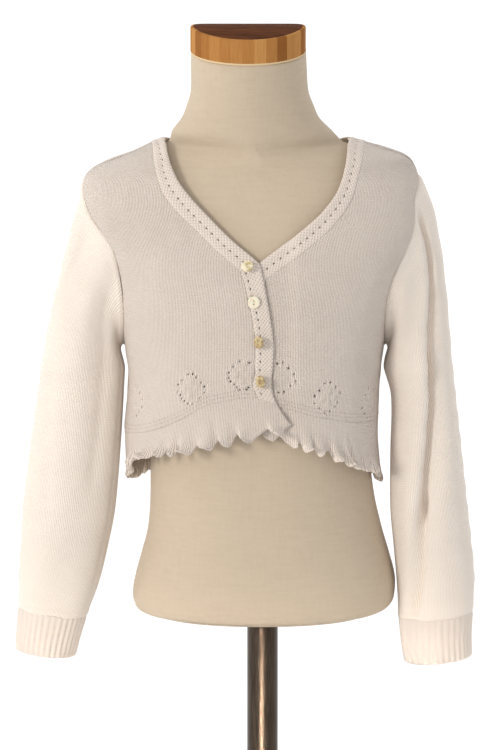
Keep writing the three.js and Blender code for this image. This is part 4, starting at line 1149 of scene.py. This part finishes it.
def stacked(name, node, rings, uv, material):
    """A closed body of rings, from the bottom up."""
    count, around = rings.shape[:2]
    points = np.concatenate([rings.reshape(-1, 3), [rings[0].mean(0)], [rings[-1].mean(0)]])
    quads = grid_quads(count, around, True)
    i = np.arange(around)
    low = np.stack([(i + 1) % around, i, np.full(around, count * around)], -1)
    high = np.stack([i, (i + 1) % around, np.full(around, count * around + 1)], -1)
    high[:, :2] += (count - 1) * around
    faces = [quads, low, high]
    volume = np.sum(points[quads[:, 0]] * np.cross(points[quads[:, 1]], points[quads[:, 2]]))
    if volume < 0:
        faces = [f[:, ::-1] for f in faces]
    values = np.concatenate([uv.reshape(-1, 2), [uv[0].mean(0)], [uv[-1].mean(0)]])
    piece = mesh_object(name, points, faces, values, material, float(uv[0, :, 0].max()))
    finish_piece(piece, node)


def form_body():
    z = np.concatenate([np.linspace(364, 372, 14), np.linspace(374, NECK_TOP, 190)])[:, None]
    turn = circle(180)[None]
    sides = [read(FORM, "z", z, name) for name in ("right", "left", "front", "back", "square")]
    x, y = section(*sides, turn)
    high = z + NECK_LEAN * smooth(NECK_LEAN_FROM, NECK_TOP, z) * (y - CAP_CENTRE[1])
    rings = np.stack(np.broadcast_arrays(x, y, high), -1)
    stacked("linen_form", "form_body", rings, np.stack(matched(turn * 95, z), -1), LINEN)


def neck_cap():
    """A slab on the leaning neck, its top meeting in a ridge across."""
    turn = circle(160)
    # Scale of the ring, height above the neck, and share of the way from there up to the top
    profile = [(0.96, 0.0, 0), (0.985, 0.0, 0), (0.996, 0.5, 0), (1.0, 1.6, 0), (1.0, 3.0, 0)]
    profile += [(1.0, 0, s) for s in (0.3, 0.55, 0.8, 0.93)]
    profile += [(0.995, 0, 0.975), (0.985, 0, 0.993), (0.965, 0, 1.0)]
    profile += [(s, 0, 1.0001) for s in (0.93, 0.8, 0.6, 0.4, 0.2, 0.05)]
    base = NECK_TOP + 0.1
    ridge = base + CAP_RIM + CAP_RISE
    rings, uv = [], []
    for scale, above, share in profile:
        x = CAP_CENTRE[0] + CAP_HALF[0] * scale * np.cos(turn)
        away = -CAP_HALF[1] * scale * np.sin(turn)
        low = base + NECK_LEAN * away + above
        front = ridge + away * (NECK_LEAN + CAP_RISE / CAP_HALF[1])
        back = ridge - away * CAP_BACK_FALL
        top = -4 * np.log(np.exp(210 - front / 4) + np.exp(210 - back / 4)) + 840
        rings.append(np.stack([x, CAP_CENTRE[1] + away, low + (top - low) * min(share, 1)], -1))
        mark = 200.0 if share > 1 else above + share * 20
        uv.append(np.stack(matched(turn * 43, mark), -1))
    stacked("wood_cap", "neck_cap", np.array(rings), np.array(uv), WOOD)


def turned(name, node, profile):
    turn = circle(96)
    radius, z = (np.array(column, float)[:, None] for column in zip(*profile))
    x, y, z = np.broadcast_arrays(radius * np.cos(turn), radius * np.sin(turn), z)
    uv = np.stack(matched(turn * 20, z), -1)
    stacked(name, node, np.stack([x, y, z], -1), uv, STEEL)


form_body()
neck_cap()
turned("steel_pole", "pole", POLE)
turned("steel_collar", "pole_collar", COLLAR)
turned("steel_foot", "foot", FOOT)


# Buttons

def buttons():
    for k, material in enumerate(SHELLS):
        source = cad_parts[f"button_{k + 1}"]
        source.data.materials.clear()
        source.data.materials.append(material)


buttons()


# Floor, light and camera

# Brightness of the white studio in front and below, and what it gains to the left and behind
SKY = 0.86
SKY_SHARES = (-0.13, 0.26)
SKY_SIDES = 0.22           # and at both sides

# Camera: angle down, distance and aim in metres, lens
LOOK_DOWN = math.radians(10.2)
DISTANCE = 4.5
AIM = (-0.0101, 0.5563)
LENS = 405


def floor():
    n = new_material("floor_white")
    mottled = n.mix(n.noise(5.0, n.place()), (0.86, 0.86, 0.85), (0.8858, 0.8858, 0.8755))
    n.set(Base_Color=mottled, Roughness=0.9)
    bpy.ops.mesh.primitive_circle_add(vertices=96, radius=0.8, fill_type="NGON",
                                      location=(0, 0, -0.0005))
    disc = bpy.context.object
    disc.name = "floor"
    disc.data.materials.append(n.owner)


def area_light(name, place, aim, size, watts, color, tall=None, spread=180):
    data = bpy.data.lights.new(name, "AREA")
    data.shape = "RECTANGLE" if tall else "DISK"
    data.size = size
    data.size_y = tall or size
    data.spread = math.radians(spread)
    data.energy = watts
    data.color = color
    lamp = bpy.data.objects.new(name, data)
    lamp.location = place
    way = np.array(aim, float) - np.array(place, float)
    flat = math.hypot(way[0], way[1])
    lamp.rotation_euler = (math.atan2(flat, -way[2]), 0, math.atan2(way[1], way[0]) - PI / 2)
    bpy.context.scene.collection.objects.link(lamp)


def light():
    n = Nodes(bpy.data.worlds.new("studio"), "Background")
    way = n.split(n.add("ShaderNodeTexCoord").outputs["Generated"])
    sky = n.total(*zip(way, SKY_SHARES), base=SKY)
    sky = n.total((n.math("ABSOLUTE", way[0]), SKY_SIDES), base=sky)
    n.set(Color=(1, 1, 1, 1), Strength=sky)
    bpy.context.scene.world = n.owner
    area_light("key", (-2.2, -2.5, 1.4), (0, 0, 0.6), 0.8, 44, (1.0, 0.95, 0.89))
    area_light("strip", (-0.35, -3.0, -0.28), (-0.01, 0, 0.16), 0.4, 0.7, (1.0, 0.90, 0.78), 0.3, 5)


def camera():
    data = bpy.data.cameras.new("camera")
    data.sensor_fit = "HORIZONTAL"
    data.sensor_width = 36
    data.lens = LENS
    data.clip_end = 50
    eye = bpy.data.objects.new("camera", data)
    eye.location = (AIM[0], -DISTANCE * math.cos(LOOK_DOWN), AIM[1] + DISTANCE * math.sin(LOOK_DOWN))
    eye.rotation_euler = (PI / 2 - LOOK_DOWN, 0, 0)
    bpy.context.scene.collection.objects.link(eye)
    bpy.context.scene.camera = eye


floor()
light()
camera()
bpy.context.scene.view_settings.view_transform = "Standard"
